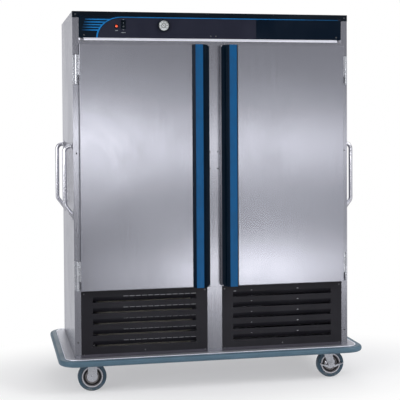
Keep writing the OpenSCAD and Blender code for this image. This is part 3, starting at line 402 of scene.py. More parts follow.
def low_dust():
    """Dust that gathers near the floor, broken up by noise."""
    tree, given, made = new_group(
        "low dust",
        {"Vector": (0.0, 0.0, 0.0), "Base": "colour", "Dust": "colour", "Reach": 0.16,
         "Amount": 0.25, "Roughness": 0.5},
        {"Color": str, "Roughness": float},
    )
    axes = add_node(tree, "SeparateXYZ")
    tree.links.new(given.outputs["Vector"], axes.inputs[0])
    share = math_node(tree, "DIVIDE", axes.outputs["Z"], given.outputs["Reach"])
    near = ramp_node(tree, share, 0.0, 1.0, start=1.0, end=0.0)
    cloud = ramp_node(tree, noise_node(tree, given.outputs["Vector"], 60.0), 0.35, 0.75)
    mask = math_node(tree, "MULTIPLY", near, cloud)
    mask = math_node(tree, "MULTIPLY", mask, given.outputs["Amount"])
    mixed = mix_node(tree, mask, given.outputs["Base"], given.outputs["Dust"])
    dulling = math_node(tree, "MULTIPLY", mask, 0.4)
    rough = math_node(tree, "ADD", given.outputs["Roughness"], dulling)
    tree.links.new(mixed, made.inputs["Color"])
    tree.links.new(rough, made.inputs["Roughness"])
    return tree


GROUP_MAKERS = {
    "brushed grain": brushed_grain,
    "wipe marks": wipe_marks,
    "moulded grain": moulded_grain,
    "low dust": low_dust,
}


def place_group(tree, name, vector, **values):
    """Place a shader group and set its inputs, which may be sockets or plain values."""
    group = bpy.data.node_groups.get(name) or GROUP_MAKERS[name]()
    node = add_node(tree, "Group", node_tree=group)
    tree.links.new(vector, node.inputs["Vector"])
    for label, value in values.items():
        feed(tree, node.inputs[label.replace("_", " ")], value)
    return node.outputs


def new_finish(name, **shader_values):
    """A material with its shader's plain values set, and its object coordinates."""
    material = bpy.data.materials.new("cart_" + name)
    material.use_nodes = True
    tree = material.node_tree
    shader = tree.nodes["Principled BSDF"]
    for label, value in shader_values.items():
        shader.inputs[label.replace("_", " ")].default_value = value
    vector = add_node(tree, "TexCoord").outputs["Object"]
    return material, tree, shader, vector


def shaded(base, share):
    """A colour made darker or brighter by a share."""
    return [share * part for part in base]


def wear(tree, shader, worn):
    """Give the shader a group's colour and roughness."""
    for label, socket in (("Color", "Base Color"), ("Roughness", "Roughness")):
        tree.links.new(worn[label], shader.inputs[socket])


def bump(tree, shader, height, distance):
    """Let a height raise the surface."""
    node = add_node(tree, "Bump")
    node.inputs["Distance"].default_value = distance
    node.inputs["Strength"].default_value = 1.0
    tree.links.new(height, node.inputs["Height"])
    tree.links.new(node.outputs["Normal"], shader.inputs["Normal"])


def satin_sheet(name, base, stretch=(420.0, 420.0, 5.0), contrast=0.05, roughness=0.30,
                metallic=1.0):
    """Brushed stainless sheet with wiping marks."""
    material, tree, shader, vector = new_finish(name, Metallic=metallic)
    dull = shaded(base, 0.82)
    wiped = place_group(tree, "wipe marks", vector, Base=base, Tint=dull, Scale=2.2,
                        Amount=0.22, Roughness=roughness, Dulling=0.04)
    grain = place_group(tree, "brushed grain", vector, Base=wiped["Color"], Stretch=stretch,
                        Contrast=contrast, Roughness=wiped["Roughness"], Spread=0.04)
    wear(tree, shader, grain)
    bump(tree, shader, grain["Height"], 0.00002)
    return material


def plated(name, base, roughness=0.24):
    """Zinc plate or polished tube, with dust low down."""
    material, tree, shader, vector = new_finish(name, Metallic=1.0)
    dull = shaded(base, 0.7)
    wiped = place_group(tree, "wipe marks", vector, Base=base, Tint=dull, Scale=26.0,
                        Amount=0.35, Roughness=roughness, Dulling=0.12)
    dusty = place_group(tree, "low dust", vector, Base=wiped["Color"], Dust=colours().dust,
                        Amount=0.18, Roughness=wiped["Roughness"])
    wear(tree, shader, dusty)
    bump(tree, shader, noise_node(tree, vector, 320.0), 0.000015)
    return material


def moulded(name, base, roughness=0.45, grain=900.0, depth=0.00006, shade=0.6, marks=7.0, **more):
    """Vinyl, plastic or paint with a fine skin and worn patches."""
    material, tree, shader, vector = new_finish(name, **{"Specular_IOR_Level": 0.25, **more})
    worn = [min(1.0, part * (1 + shade) + 0.004) for part in base]
    wiped = place_group(tree, "wipe marks", vector, Base=base, Tint=worn, Scale=marks,
                        Amount=0.45, Roughness=roughness, Dulling=0.10)
    wear(tree, shader, wiped)
    bump(tree, shader, place_group(tree, "moulded grain", vector, Scale=grain)["Height"], depth)
    return material


def dusty_rubber(name, base):
    """Tyre rubber with floor dust on it."""
    material, tree, shader, vector = new_finish(name)
    scuffed = [part * 1.7 + 0.01 for part in base]
    wiped = place_group(tree, "wipe marks", vector, Base=base, Tint=scuffed, Scale=34.0,
                        Amount=0.4, Roughness=0.5, Dulling=0.14)
    dusty = place_group(tree, "low dust", vector, Base=wiped["Color"], Dust=colours().dust,
                        Reach=0.05, Amount=0.5, Roughness=wiped["Roughness"])
    wear(tree, shader, dusty)
    bump(tree, shader, place_group(tree, "moulded grain", vector, Scale=650.0)["Height"], 0.00012)
    return material


def colours():
    """The colours in use."""
    return bpy.context.scene.cart_colours


def sizes():
    """The sizes in use."""
    return bpy.context.scene.cart_sizes


def cabinet_steel():
    """Satin sheet of the cabinet."""
    return satin_sheet("cabinet_steel", colours().steel, roughness=0.22)


def door_steel():
    """Satin sheet of the doors, a little brighter than the cabinet's."""
    return satin_sheet("door_steel", colours().door_steel, roughness=0.22)


def highlight_steel():
    """Painted highlight: steel 2.6 times brighter than the cabinet's and little metallic, for the
    deck's rolled edge and the drip lip.
    """
    return satin_sheet("highlight_steel", shaded(colours().steel, 2.6),
                       roughness=0.30, metallic=0.35)


def deck_steel():
    """Duller sheet of the deck, with its base 1.15 times the cabinet's steel: painted light on the
    deck's top, which faces the lamps overhead.
    """
    return satin_sheet("deck_steel", shaded(colours().steel, 1.15),
                       stretch=(5.0, 420.0, 420.0), roughness=0.40, metallic=0.6)


def inner_steel():
    """Bright sheet inside the compartments and the doors."""
    return satin_sheet("inner_steel", colours().liner, stretch=(6.0, 500.0, 500.0),
                       contrast=0.03, roughness=0.26)


def plated_steel():
    """Zinc plate of casters, hinges and fittings."""
    return plated("plated_steel", colours().zinc)


def handle_steel():
    """Polished steel of the side handles and the wheels' rings."""
    return plated("handle_steel", colours().tube, roughness=0.16)


def gauge_steel():
    """Polished rim of the thermometer."""
    return plated("gauge_steel", colours().tube, roughness=0.12)


def unit_steel():
    """Galvanised sheet of the condensing unit."""
    return satin_sheet("unit_steel", shaded(colours().zinc, 0.8),
                       stretch=(30.0, 30.0, 30.0), contrast=0.12, roughness=0.45)


def compressor_paint():
    """Black paint of the compressor, with some gloss."""
    return moulded("compressor_paint", colours().plastic, roughness=0.30, grain=500.0,
                   Coat_Weight=0.3)


def coil_fins():
    """Packed aluminium fins, drawn as fine upright lines."""
    material, tree, shader, vector = new_finish("coil_fins", Metallic=0.9, Roughness=0.4)
    fins = add_node(tree, "TexWave", bands_direction="X")
    fins.inputs["Scale"].default_value = 60.0
    tree.links.new(vector, fins.inputs["Vector"])
    grain = place_group(tree, "brushed grain", vector, Base=(0.42, 0.40, 0.36), Contrast=0.2,
                        Roughness=0.42)
    wear(tree, shader, grain)
    bump(tree, shader, fins.outputs["Fac"], 0.0015)
    return material


def fan_alloy():
    """Dull alloy of the fans."""
    return plated("fan_alloy", shaded(colours().zinc, 0.7), roughness=0.38)


def bumper_vinyl():
    """Slate blue vinyl of the bumper."""
    return moulded("bumper_vinyl", colours().bumper, roughness=0.38, grain=420.0,
                   depth=0.00008, shade=0.35, marks=5.0)


def foam():
    """Rigid insulating foam."""
    material, tree, shader, vector = new_finish("foam", Roughness=0.9)
    wiped = place_group(tree, "wipe marks", vector, Base=(0.62, 0.52, 0.30),
                        Tint=(0.50, 0.40, 0.20), Scale=18.0, Amount=0.8, Roughness=0.88)
    tree.links.new(wiped["Color"], shader.inputs["Base Color"])
    bump(tree, shader, place_group(tree, "moulded grain", vector, Scale=300.0)["Height"], 0.0008)
    return material


def printed_film(name, base):
    """Satin printed film on the control panel."""
    return moulded(name, base, roughness=0.34, grain=1400.0, depth=0.00003, shade=0.25,
                   marks=3.0, Specular_IOR_Level=0.06)


def panel_film():
    """Dark film in the middle of the control panel."""
    return printed_film("panel_film", colours().panel)


def teal_field():
    """Film outside the arc."""
    return printed_film("teal_field", colours().teal)


def navy_field():
    """Film on the right of the seam."""
    return printed_film("navy_field", colours().navy)


def print_black():
    """Nearly black print, and plastic that matches it."""
    return printed_film("print_black", colours().band)


def print_grey():
    """Pale print of the marks and legends."""
    return printed_film("print_grey", (0.20, 0.22, 0.24))


def print_blue():
    """Printed blue that fades in from the left end and dims towards the right."""
    size = sizes()
    least = 0.35
    material, tree, shader, vector = new_finish("print_blue", Specular_IOR_Level=0.10)
    blue = shaded(colours().blue, 2.0)
    wiped = place_group(tree, "wipe marks", vector, Base=blue, Tint=colours().blue, Scale=9.0,
                        Amount=0.5, Roughness=0.32, Dulling=0.08)
    axes = add_node(tree, "SeparateXYZ")
    tree.links.new(vector, axes.inputs[0])
    rise = ramp_node(tree, axes.outputs["X"], -size.fade_start, -size.fade_end)
    dim = ramp_node(tree, axes.outputs["X"], size.dim_start, size.dim_end, 1.0, least)
    share = math_node(tree, "MULTIPLY", rise, dim)
    faded = mix_node(tree, share, colours().teal, wiped["Color"])
    tree.links.new(faded, shader.inputs["Base Color"])
    tree.links.new(wiped["Roughness"], shader.inputs["Roughness"])
    return material


def trim_dark():
    """Dark strip over the control panel."""
    return moulded("trim_dark", colours().band, roughness=0.30, grain=1400.0, depth=0.00003,
                   shade=0.4, marks=3.0, Specular_IOR_Level=0.10)


def screw_zinc():
    """Screws that have gone dark."""
    return plated("screw_zinc", shaded(colours().zinc, 0.22), roughness=0.36)


def louvre_glint():
    """Painted highlights: bright plated dashes over the louvres, standing in for the light on their
    top bends.
    """
    return plated("louvre_glint", shaded(colours().zinc, 0.9), roughness=0.5)


def pilot_lens():
    """A lit lens, brighter where its facets gather the light."""
    material, tree, shader, vector = new_finish("pilot_lens", Roughness=0.12, Coat_Weight=0.6)
    facet = add_node(tree, "TexVoronoi")
    facet.inputs["Scale"].default_value = 420.0
    tree.links.new(vector, facet.inputs["Vector"])
    lens = colours().lens
    wiped = place_group(tree, "wipe marks", vector, Base=lens, Tint=(0.95, 0.16, 0.03),
                        Scale=160.0, Amount=0.8, Roughness=0.12, Dulling=0.02)
    tree.links.new(wiped["Color"], shader.inputs["Base Color"])
    tree.links.new(wiped["Color"], shader.inputs["Emission Color"])
    shader.inputs["Emission Strength"].default_value = 0.35
    bump(tree, shader, facet.outputs["Distance"], 0.0004)
    return material


def black_plastic():
    """Black plastic of the power inlet and the wheels' dark bands."""
    return moulded("black_plastic", colours().plastic, roughness=0.35, grain=1500.0,
                   depth=0.00004)


def dial_white():
    """White face of the dial."""
    return moulded("dial_white", colours().white, roughness=0.35, grain=1600.0, depth=0.00001,
                   shade=-0.08, marks=40.0)


def gauge_glass():
    """Clear glass with a trace of haze."""
    material, tree, shader, vector = new_finish(
        "gauge_glass", Transmission_Weight=1.0, IOR=1.45, Metallic=0.0
    )
    shader.inputs["Base Color"].default_value = (0.96, 0.98, 0.98, 1.0)
    hazy = place_group(tree, "wipe marks", vector, Scale=60.0, Roughness=0.01, Dulling=0.03)
    tree.links.new(hazy["Roughness"], shader.inputs["Roughness"])
    return material


def dial_grey():
    """Grey band on the dial."""
    return moulded("dial_grey", shaded(colours().white, 0.42), roughness=0.4, grain=1600.0,
                   depth=0.00001, shade=-0.05, marks=40.0)


def needle_black():
    """Black needle and dial print."""
    return moulded("needle_black", colours().plastic, roughness=0.4, grain=1500.0,
                   depth=0.00001)


def grille_paint():
    """Black baked paint of the grilles."""
    return moulded("grille_paint", colours().grille, roughness=0.38, grain=800.0, shade=0.3,
                   marks=4.0, Specular_IOR_Level=0.18)


def foot_paint():
    """Paint 3.4 times paler than the grilles', on the lips at the grilles' feet."""
    return moulded("foot_paint", shaded(colours().grille, 3.4), roughness=0.5)


def gasket_vinyl():
    """Dark vinyl of the door gaskets."""
    return moulded("gasket_vinyl", (0.030, 0.032, 0.036), roughness=0.5, grain=600.0,
                   depth=0.0001)


def grip_plastic():
    """Dark extrusion of the door handles."""
    return moulded("grip_plastic", colours().grip, roughness=0.36, shade=0.3, marks=5.0,
                   Specular_IOR_Level=0.07)


def blue_strip():
    """Bright blue strip in each door handle."""
    return moulded("blue_strip", colours().blue, roughness=0.32, grain=1200.0, depth=0.00004,
                   shade=-0.25, marks=14.0, Specular_IOR_Level=0.12)


def wheel_core():
    """Grey nylon of the wheels."""
    return moulded("wheel_core", colours().core, roughness=0.42, grain=700.0, shade=0.25,
                   marks=30.0)


def tyre_rubber():
    """Blue-grey rubber of the tyres."""
    return dusty_rubber("tyre_rubber", colours().tyre)


FINISH_MAKERS = {maker.__name__: maker for maker in (
    cabinet_steel, door_steel, highlight_steel, deck_steel, inner_steel, plated_steel, handle_steel,
    gauge_steel, unit_steel, compressor_paint, coil_fins, fan_alloy, bumper_vinyl, foam,
    panel_film, teal_field, navy_field, print_black, print_grey, print_blue, trim_dark,
    screw_zinc, louvre_glint, pilot_lens, black_plastic, dial_white, gauge_glass, dial_grey,
    needle_black, grille_paint, foot_paint, gasket_vinyl, grip_plastic, blue_strip, wheel_core,
    tyre_rubber,
)}


def finish(name):
    """A material by its name, made once."""
    return bpy.data.materials.get("cart_" + name) or FINISH_MAKERS[name]()


# Shape building

def new_piece(name, bm, slot, body, *replaced, smooth=35.0, look=None):
    """Make an object from a bmesh, finish it, and set it on its body."""
    mesh = bpy.data.meshes.new(name)
    bm.to_mesh(mesh)
    bm.free()
    mesh.shade_smooth()
    mesh.set_sharp_from_angle(angle=math.radians(smooth))
    mesh.materials.append(finish(look or slot))
    piece = bpy.data.objects.new(name, mesh)
    bpy.context.scene.collection.objects.link(piece)
    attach(piece, body)
    if replaced:
        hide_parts(*replaced)
    flat = piece.modifiers.new("flat faces", "WEIGHTED_NORMAL")
    flat.weight = 100
    flat.keep_sharp = True
    return piece


def add_block(bm, low, high):
    """Add a closed block between two corners."""
    low, high = Vector(low), Vector(high)
    size = Matrix.Diagonal((*(high - low), 1))
    place = Matrix.Translation((low + high) / 2)
    bmesh.ops.create_cube(bm, size=1, matrix=place @ size)


def add_prism(bm, outline, travel):
    """Extrude a closed outline into a prism."""
    face = bm.faces.new([bm.verts.new(point) for point in outline])
    made = bmesh.ops.extrude_face_region(bm, geom=[face])
    moved = [part for part in made["geom"] if isinstance(part, bmesh.types.BMVert)]
    bmesh.ops.translate(bm, verts=moved, vec=Vector(travel))


def add_turned(bm, profile, centre, axis, steps=48):
    """Spin a profile of (radius, along) points round an axis."""
    axis = Vector(axis)
    across = axis.orthogonal().normalized()
    centre = Vector(centre)
    points = [bm.verts.new(centre + across * r + axis * along) for r, along in profile]
    edges = [bm.edges.new(pair) for pair in zip(points, points[1:])]
    before = set(bm.verts) - set(points)
    bmesh.ops.spin(bm, geom=points + edges, cent=centre, axis=axis, angle=math.tau,
                   steps=steps, use_merge=True)
    made = [vert for vert in bm.verts if vert not in before]
    bmesh.ops.remove_doubles(bm, verts=made, dist=MERGE)


def tidy_normals(bm):
    """Turn every face outward."""
    bmesh.ops.recalc_face_normals(bm, faces=bm.faces[:])


def round_edges(bm, width, segments=2, angle=30.0):
    """Round the edges that turn more than an angle in degrees."""
    least = math.radians(angle)
    edges = [edge for edge in bm.edges if edge.is_manifold and edge.calc_face_angle() > least]
    bmesh.ops.bevel(bm, geom=edges, offset=width, segments=segments, profile=0.5,
                    affect="EDGES", material=-1, clamp_overlap=True)


def solid_copy(node):
    """A clean bmesh of a CAD node's mesh, with flat faces made whole."""
    bm = bmesh.new()
    bm.from_mesh(frame["nodes"][node].data)
    bmesh.ops.remove_doubles(bm, verts=bm.verts[:], dist=MERGE)
    bmesh.ops.dissolve_limit(bm, angle_limit=math.radians(FLAT), verts=bm.verts[:],
                             edges=bm.edges[:])
    return bm


def soften(node, width=0.0, look=None):
    """Put a smooth copy, with its edges rounded to a width, in a CAD node's place."""
    bm = solid_copy(node)
    if width:
        round_edges(bm, width)
    return new_piece(
        node + "_form", bm, SLOT_OF_NODE[node], BODY_OF_NODE[node], node, look=look
    )


def add_slab(bm, outline, face, depth):
    """Add a thin slab in front of an upright face, from its (x, z) outline."""
    add_prism(bm, [(x, face, z) for x, z in outline], (0, -depth, 0))


def add_rod(bm, start, end, radius, segments=10):
    """Add a round rod between two points."""
    start, end = Vector(start), Vector(end)
    turn = (end - start).to_track_quat("Z", "Y").to_matrix().to_4x4()
    bmesh.ops.create_cone(
        bm, cap_ends=True, segments=segments, radius1=radius, radius2=radius,
        depth=(end - start).length, matrix=Matrix.Translation((start + end) / 2) @ turn,
    )


def add_hoop(bm, centre, axis, radius, wire, steps=48):
    """Add a ring of round wire."""
    profile = [
        (radius + wire / 2 * math.cos(math.tau * step / WIRE_SIDES),
         wire / 2 * math.sin(math.tau * step / WIRE_SIDES)) for step in range(WIRE_SIDES + 1)
    ]
    add_turned(bm, profile, centre, axis, steps)


def add_words(bm, words, place, height, depth):
    """Add thin letters that face the front, as a mesh."""
    curve = bpy.data.curves.new("letters", "FONT")
    curve.body = words
    curve.size = height
    curve.align_x = "CENTER"
    curve.align_y = "CENTER"
    curve.extrude = depth / 2
    holder = bpy.data.objects.new("letters", curve)
    mesh = bpy.data.meshes.new_from_object(holder)
    mesh.transform(Matrix.Translation(place) @ Matrix.Rotation(math.radians(90), 4, "X"))
    bm.from_mesh(mesh)
    bpy.data.objects.remove(holder)
    bpy.data.curves.remove(curve)
    bpy.data.meshes.remove(mesh)


def middle(node):
    """Middle of a CAD node's box."""
    low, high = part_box(node)
    return (Vector(low) + Vector(high)) / 2


class CART_OT_studio(bpy.types.Operator):
    """Make the floor, the lamps, the world and the camera"""

    bl_idname = "cart.studio"
    bl_label = "Studio"
    bl_options = {"REGISTER", "UNDO"}

    # Soft strips in front of the doors: place, width, height and power in watts
    STRIPS = (
        (-0.4, -4.6, 1.2, 1.0, 0.36, 7.20),
        (0.5, -4.6, 1.2, 0.8, 0.36, 2.30),
        (1.3, -4.6, 1.2, 0.8, 0.36, 3.00),
        (2.1, -4.6, 1.2, 0.8, 0.36, 2.30),
        (0.0, -3.6, 0.14, 0.7, 0.26, 0.80),
        (0.6, -3.6, 0.14, 0.5, 0.26, 1.75),
        (1.15, -3.6, 0.14, 0.6, 0.26, 2.75),
        (1.75, -3.6, 0.14, 0.6, 0.26, 1.40),
    )

    # Large lamps: place, the point faced, and the square's two sides
    KEY = ((4.6, -3.6, 4.6), (0, 0, 1.0), (3.0, 3.0))
    FILL = ((-4.6, -3.6, 2.6), (0, 0, 1.0), (3.5, 3.5))
    BACK = ((0.8, 5.0, 3.6), (0, 0, 1.0), (3.5, 3.5))

    # Where gloss sees the surroundings change, as parts of a ray's direction
    TO_BACK = (-0.5, 0.4)
    TO_SIDE = (0.5, 0.8)
    TO_HAZE = (-0.02, 0.30)
    TO_CEILING = (0.45, 0.85)

    # Where gloss sees the floor change, in metres: by depth, and by distance from a line at x
    FLOOR_BACK = (-1.4, -0.2)
    FLOOR_SIDE = (1.9, 3.2)
    FLOOR_X = 0.4
    # Where the camera sees the floor turn white: an oval's two distances, and its narrowing
    WHITE = (0.40, 1.05)
    OVAL = (0.55, 1.0, 1.0)
    FLOOR_RADIUS = 60

    def execute(self, context):
        studio = context.scene.cart_studio
        context.scene.view_settings.view_transform = "Standard"
        self.make_camera(context, studio)
        self.make_world(context, studio)
        self.make_floor(studio)
        self.make_lamp(context, "key_lamp", *self.KEY, studio.key)
        self.make_lamp(context, "fill_lamp", *self.FILL, studio.fill)
        self.make_lamp(context, "back_lamp", *self.BACK, studio.back)
        for x, y, z, width, height, watts in self.STRIPS:
            self.make_lamp(context, "strip_lamp", (x, y, z), (x, 0, z), (width, height),
                           watts * studio.glow)
        return {"FINISHED"}

    def make_camera(self, context, studio):
        """A camera turned by its yaw, pitch and roll."""
        ahead = Vector((
            math.sin(studio.yaw) * math.cos(studio.pitch),
            math.cos(studio.yaw) * math.cos(studio.pitch),
            math.sin(studio.pitch),
        ))
        level = Vector((math.cos(studio.yaw), -math.sin(studio.yaw), 0))
        upright = level.cross(ahead)
        right = level * math.cos(studio.roll) + upright * math.sin(studio.roll)
        up = upright * math.cos(studio.roll) - level * math.sin(studio.roll)
        data = bpy.data.cameras.new("camera")
        data.sensor_width = studio.sensor
        data.lens = studio.lens
        data.shift_y = studio.rise
        camera = bpy.data.objects.new("camera", data)
        turn = Matrix((right, up, -ahead)).transposed().to_4x4()
        camera.matrix_world = Matrix.Translation(studio.camera_place) @ turn
        context.scene.collection.objects.link(camera)
        context.scene.camera = camera

    def make_lamp(self, context, name, place, aim, spread, power):
        """A soft lamp that the camera doesn't see."""
        data = bpy.data.lights.new(name, "AREA")
        data.shape = "RECTANGLE"
        data.size, data.size_y = spread
        data.energy = power
        lamp = bpy.data.objects.new(name, data)
        facing = (Vector(aim) - Vector(place)).to_track_quat("-Z", "Y").to_matrix().to_4x4()
        lamp.matrix_world = Matrix.Translation(place) @ facing
        lamp.visible_camera = False
        context.scene.collection.objects.link(lamp)

    def make_world(self, context, studio):
        """White to the camera, even to pale paint, and darker in places to gloss."""
        world = bpy.data.worlds.new("studio")
        world.use_nodes = True
        tree = world.node_tree
        tree.nodes.clear()
        even = add_node(tree, "Background")
        even.inputs["Strength"].default_value = studio.ambient
        white = add_node(tree, "Background")
        sky = add_node(tree, "Background")
        axes = add_node(tree, "SeparateXYZ")
        tree.links.new(add_node(tree, "TexCoord").outputs["Generated"], axes.inputs[0])
        ends = (studio.front, studio.horizon)
        behind = ramp_node(tree, axes.outputs["Y"], *self.TO_BACK, *ends)
        across = math_node(tree, "ABSOLUTE", axes.outputs["X"])
        beside = ramp_node(tree, across, *self.TO_SIDE, *ends)
        level = math_node(tree, "MAXIMUM", behind, beside)
        fall = ramp_node(tree, axes.outputs["Z"], *self.TO_HAZE, level, studio.haze)
        overhead = ramp_node(tree, axes.outputs["Z"], *self.TO_CEILING, 0.0, studio.ceiling)
        tree.links.new(math_node(tree, "MAXIMUM", fall, overhead), sky.inputs["Strength"])
        path = add_node(tree, "LightPath")
        seen = math_node(tree, "MAXIMUM", path.outputs["Is Camera Ray"],
                         path.outputs["Is Transmission Ray"])
        glossy = add_node(tree, "MixShader")
        tree.links.new(path.outputs["Is Glossy Ray"], glossy.inputs[0])
        tree.links.new(even.outputs[0], glossy.inputs[1])
        tree.links.new(sky.outputs[0], glossy.inputs[2])
        final = add_node(tree, "MixShader")
        tree.links.new(seen, final.inputs[0])
        tree.links.new(glossy.outputs[0], final.inputs[1])
        tree.links.new(white.outputs[0], final.inputs[2])
        tree.links.new(final.outputs[0], add_node(tree, "OutputWorld").inputs["Surface"])
        white.inputs["Color"].default_value = (1, 1, 1, 1)
        sky.inputs["Color"].default_value = (*studio.tint, 1)
        even.inputs["Color"].default_value = (1, 1, 1, 1)
        context.scene.world = world

    def make_floor(self, studio):
        """A wide round floor, which is part of the stage."""
        bm = bmesh.new()
        bmesh.ops.create_circle(bm, cap_ends=True, segments=64, radius=self.FLOOR_RADIUS)
        mesh = bpy.data.meshes.new("studio_floor")
        bm.to_mesh(mesh)
        bm.free()
        mesh.materials.append(self.floor_finish(studio))
        floor = bpy.data.objects.new("studio_floor", mesh)
        bpy.context.scene.collection.objects.link(floor)

    def floor_finish(self, studio):
        """Pale paint whose look is lifted to white, and which keeps the cart's shadow."""
        material = bpy.data.materials.new("studio_floor")
        material.use_nodes = True
        tree = material.node_tree
        tree.nodes.clear()
        paint = add_node(tree, "BsdfDiffuse")
        paint.inputs["Color"].default_value = (*studio.floor, 1)
        glow = add_node(tree, "Emission")
        oval = add_node(tree, "VectorMath", operation="MULTIPLY")
        oval.inputs[1].default_value = self.OVAL
        place = add_node(tree, "TexCoord").outputs["Object"]
        tree.links.new(place, oval.inputs[0])
        reach = add_node(tree, "VectorMath", operation="LENGTH")
        tree.links.new(oval.outputs[0], reach.inputs[0])
        lift = ramp_node(tree, reach.outputs["Value"], *self.WHITE, studio.floor_glow, 1.0)
        path = add_node(tree, "LightPath")
        glossy = path.outputs["Is Glossy Ray"]
        seen = math_node(tree, "MAXIMUM", path.outputs["Is Camera Ray"],
                         path.outputs["Is Transmission Ray"])
        axes = add_node(tree, "SeparateXYZ")
        tree.links.new(place, axes.inputs[0])
        ends = (studio.floor_gloss, studio.floor_side)
        behind = ramp_node(tree, axes.outputs["Y"], *self.FLOOR_BACK, *ends)
        aside = math_node(tree, "SUBTRACT", axes.outputs["X"], self.FLOOR_X)
        aside = math_node(tree, "ABSOLUTE", aside)
        beside = ramp_node(tree, aside, *self.FLOOR_SIDE, *ends)
        level = math_node(tree, "MAXIMUM", behind, beside)
        fading = math_node(tree, "MULTIPLY", glossy, math_node(tree, "SUBTRACT", 1.0, level))
        tree.links.new(math_node(tree, "SUBTRACT", 1.0, fading), glow.inputs["Strength"])
        hue = mix_node(tree, glossy, (1, 1, 1), studio.tint)
        tree.links.new(hue, glow.inputs["Color"])
        look = add_node(tree, "MixShader")
        share = math_node(tree, "MAXIMUM", math_node(tree, "MULTIPLY", seen, lift), glossy)
        tree.links.new(share, look.inputs[0])
        tree.links.new(paint.outputs[0], look.inputs[1])
        tree.links.new(glow.outputs[0], look.inputs[2])
        tree.links.new(look.outputs[0], add_node(tree, "OutputMaterial").inputs["Surface"])
        return material


class CART_OT_finishes(bpy.types.Operator):
    """Give every solid part the finish of its slot"""

    bl_idname = "cart.finishes"
    bl_label = "Finishes"
    bl_options = {"REGISTER", "UNDO"}

    def execute(self, context):
        for node, part in frame["nodes"].items():
            part.data.materials.clear()
            part.data.materials.append(finish(SLOT_OF_NODE[node]))
        return {"FINISHED"}


class CART_OT_sheet_metal(bpy.types.Operator):
    """Smooth the sheets, fittings and round parts, and round the edges of sheets and plates"""

    bl_idname = "cart.sheet_metal"
    bl_label = "Sheet metal"
    bl_options = {"REGISTER", "UNDO"}

    # Nodes by the width that their edges are rounded to, and those whose edges stay as they are
    THICK = ("deck",)
    STAMPED = (
        "side_panel_left", "side_panel_right", "top_panel", "face_panel", "condensing_unit_base",
        "evaporator_covers", "hinge_frame_leaves", "door_left_hinge_leaves",
        "door_right_hinge_leaves", "rigid_casters", "swivel_plates", "swivel_fork_front",
        "swivel_fork_back", "brake_lever_front", "brake_lever_back", "door_left_liner",
        "door_right_liner", "power_inlet",
    )
    THIN = (
        "face_frame", "top_trim", "back_panel", "grilles", "tray_racks", "switch_housing",
        "switch_rocker",
    )
    ROUND = (
        "bumper", "side_handles", "screws", "thermometer_case", "thermometer_needle",
        "compressor", "condenser_coil", "condenser_fan", "evaporator_coils",
        "evaporator_fan_left", "evaporator_fan_right", "pilot_light", "liners",
        "wheel_rigid_front", "wheel_rigid_back", "wheel_swivel_front", "wheel_swivel_back",
    )
    # Looks of nodes that differ from their slot's finish
    LOOKS = {
        "deck": "deck_steel", "screws": "screw_zinc", "switch_housing": "print_black",
        "switch_rocker": "print_black", "thermometer_case": "print_black",
    }

    def execute(self, context):
        size = sizes()
        for nodes, width in ((self.THICK, size.cast_edge * 2), (self.STAMPED, size.cast_edge),
                             (self.THIN, size.fine_edge), (self.ROUND, 0)):
            for node in nodes:
                soften(node, width, self.LOOKS.get(node))
        return {"FINISHED"}


class CART_OT_deck_edge(bpy.types.Operator):
    """Make the rolled edge where the deck turns down into its rim, a rod in bright steel that paints
    a highlight along it
    """

    bl_idname = "cart.deck_edge"
    bl_label = "Deck edge"
    bl_options = {"REGISTER", "UNDO"}

    # Depth of the edge's middle below the deck, as a share of its radius
    SINK = 0.7
    # Steps round a corner of the deck
    STEPS = 8

    def execute(self, context):
        size = sizes()
        sink = size.deck_edge * self.SINK
        reach = Vector(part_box("deck")[1]) - Vector((size.deck_corner, size.deck_corner, sink))
        start = reach + Vector((size.deck_corner - sink, 0, 0))
        upright = Matrix.Rotation(math.radians(90), 4, "X")
        bm = bmesh.new()
        bmesh.ops.create_circle(bm, segments=WIRE_SIDES, radius=size.deck_edge,
                                matrix=Matrix.Translation(start) @ upright)
        end = bm.edges[:]
        corner = reach.copy()
        for way in ((-1, 0), (0, -1), (1, 0), (0, 1)):
            made = bmesh.ops.spin(bm, geom=end, cent=corner, axis=(0, 0, 1),
                                  angle=math.radians(90), steps=self.STEPS)
            last = [part for part in made["geom_last"] if isinstance(part, bmesh.types.BMEdge)]
            made = bmesh.ops.extrude_edge_only(bm, edges=last)
            moved = [part for part in made["geom"] if isinstance(part, bmesh.types.BMVert)]
            travel = Vector((2 * reach.x * way[0], 2 * reach.y * way[1], 0))
            bmesh.ops.translate(bm, verts=moved, vec=travel)
            end = [part for part in made["geom"]
                   if isinstance(part, bmesh.types.BMEdge) and part.is_boundary]
            corner += travel
        bmesh.ops.remove_doubles(bm, verts=bm.verts[:], dist=size.deck_edge / 100)
        tidy_normals(bm)
        # Its bright steel is a painted highlight along the deck's edge
        new_piece("deck_edge", bm, "cabinet_steel", "root", look="highlight_steel")
        return {"FINISHED"}


class CART_OT_drip_lip(bpy.types.Operator):
    """Make a thin slab of bright steel on the face of the drip lip below the control panel, a
    painted highlight
    """

    bl_idname = "cart.drip_lip"
    bl_label = "Drip lip"
    bl_options = {"REGISTER", "UNDO"}

    # Height of the lip's slope, as a share of the lip's height
    SLOPE = 2 / 3

    def execute(self, context):
        size = sizes()
        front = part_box("face_frame")[0].y
        low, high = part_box("face_panel")
        reach, height = size.drip_out, size.drip_height
        rise = size.film * 2
        section = [(front, low.z - height * self.SLOPE), (front + reach, low.z),
                   (front + reach - rise, low.z), (front - rise, low.z - height * self.SLOPE),
                   (front - rise, low.z - height), (front, low.z - height)]
        bm = bmesh.new()
        outline = [(low.x + size.drip_mitre, y, z) for y, z in section]
        add_prism(bm, outline, (high.x - low.x - 2 * size.drip_mitre, 0, 0))
        tidy_normals(bm)
        # The slab's bright steel paints the lip's highlight
        new_piece("drip_lip_highlight", bm, "cabinet_steel", "root", look="highlight_steel")
        return {"FINISHED"}


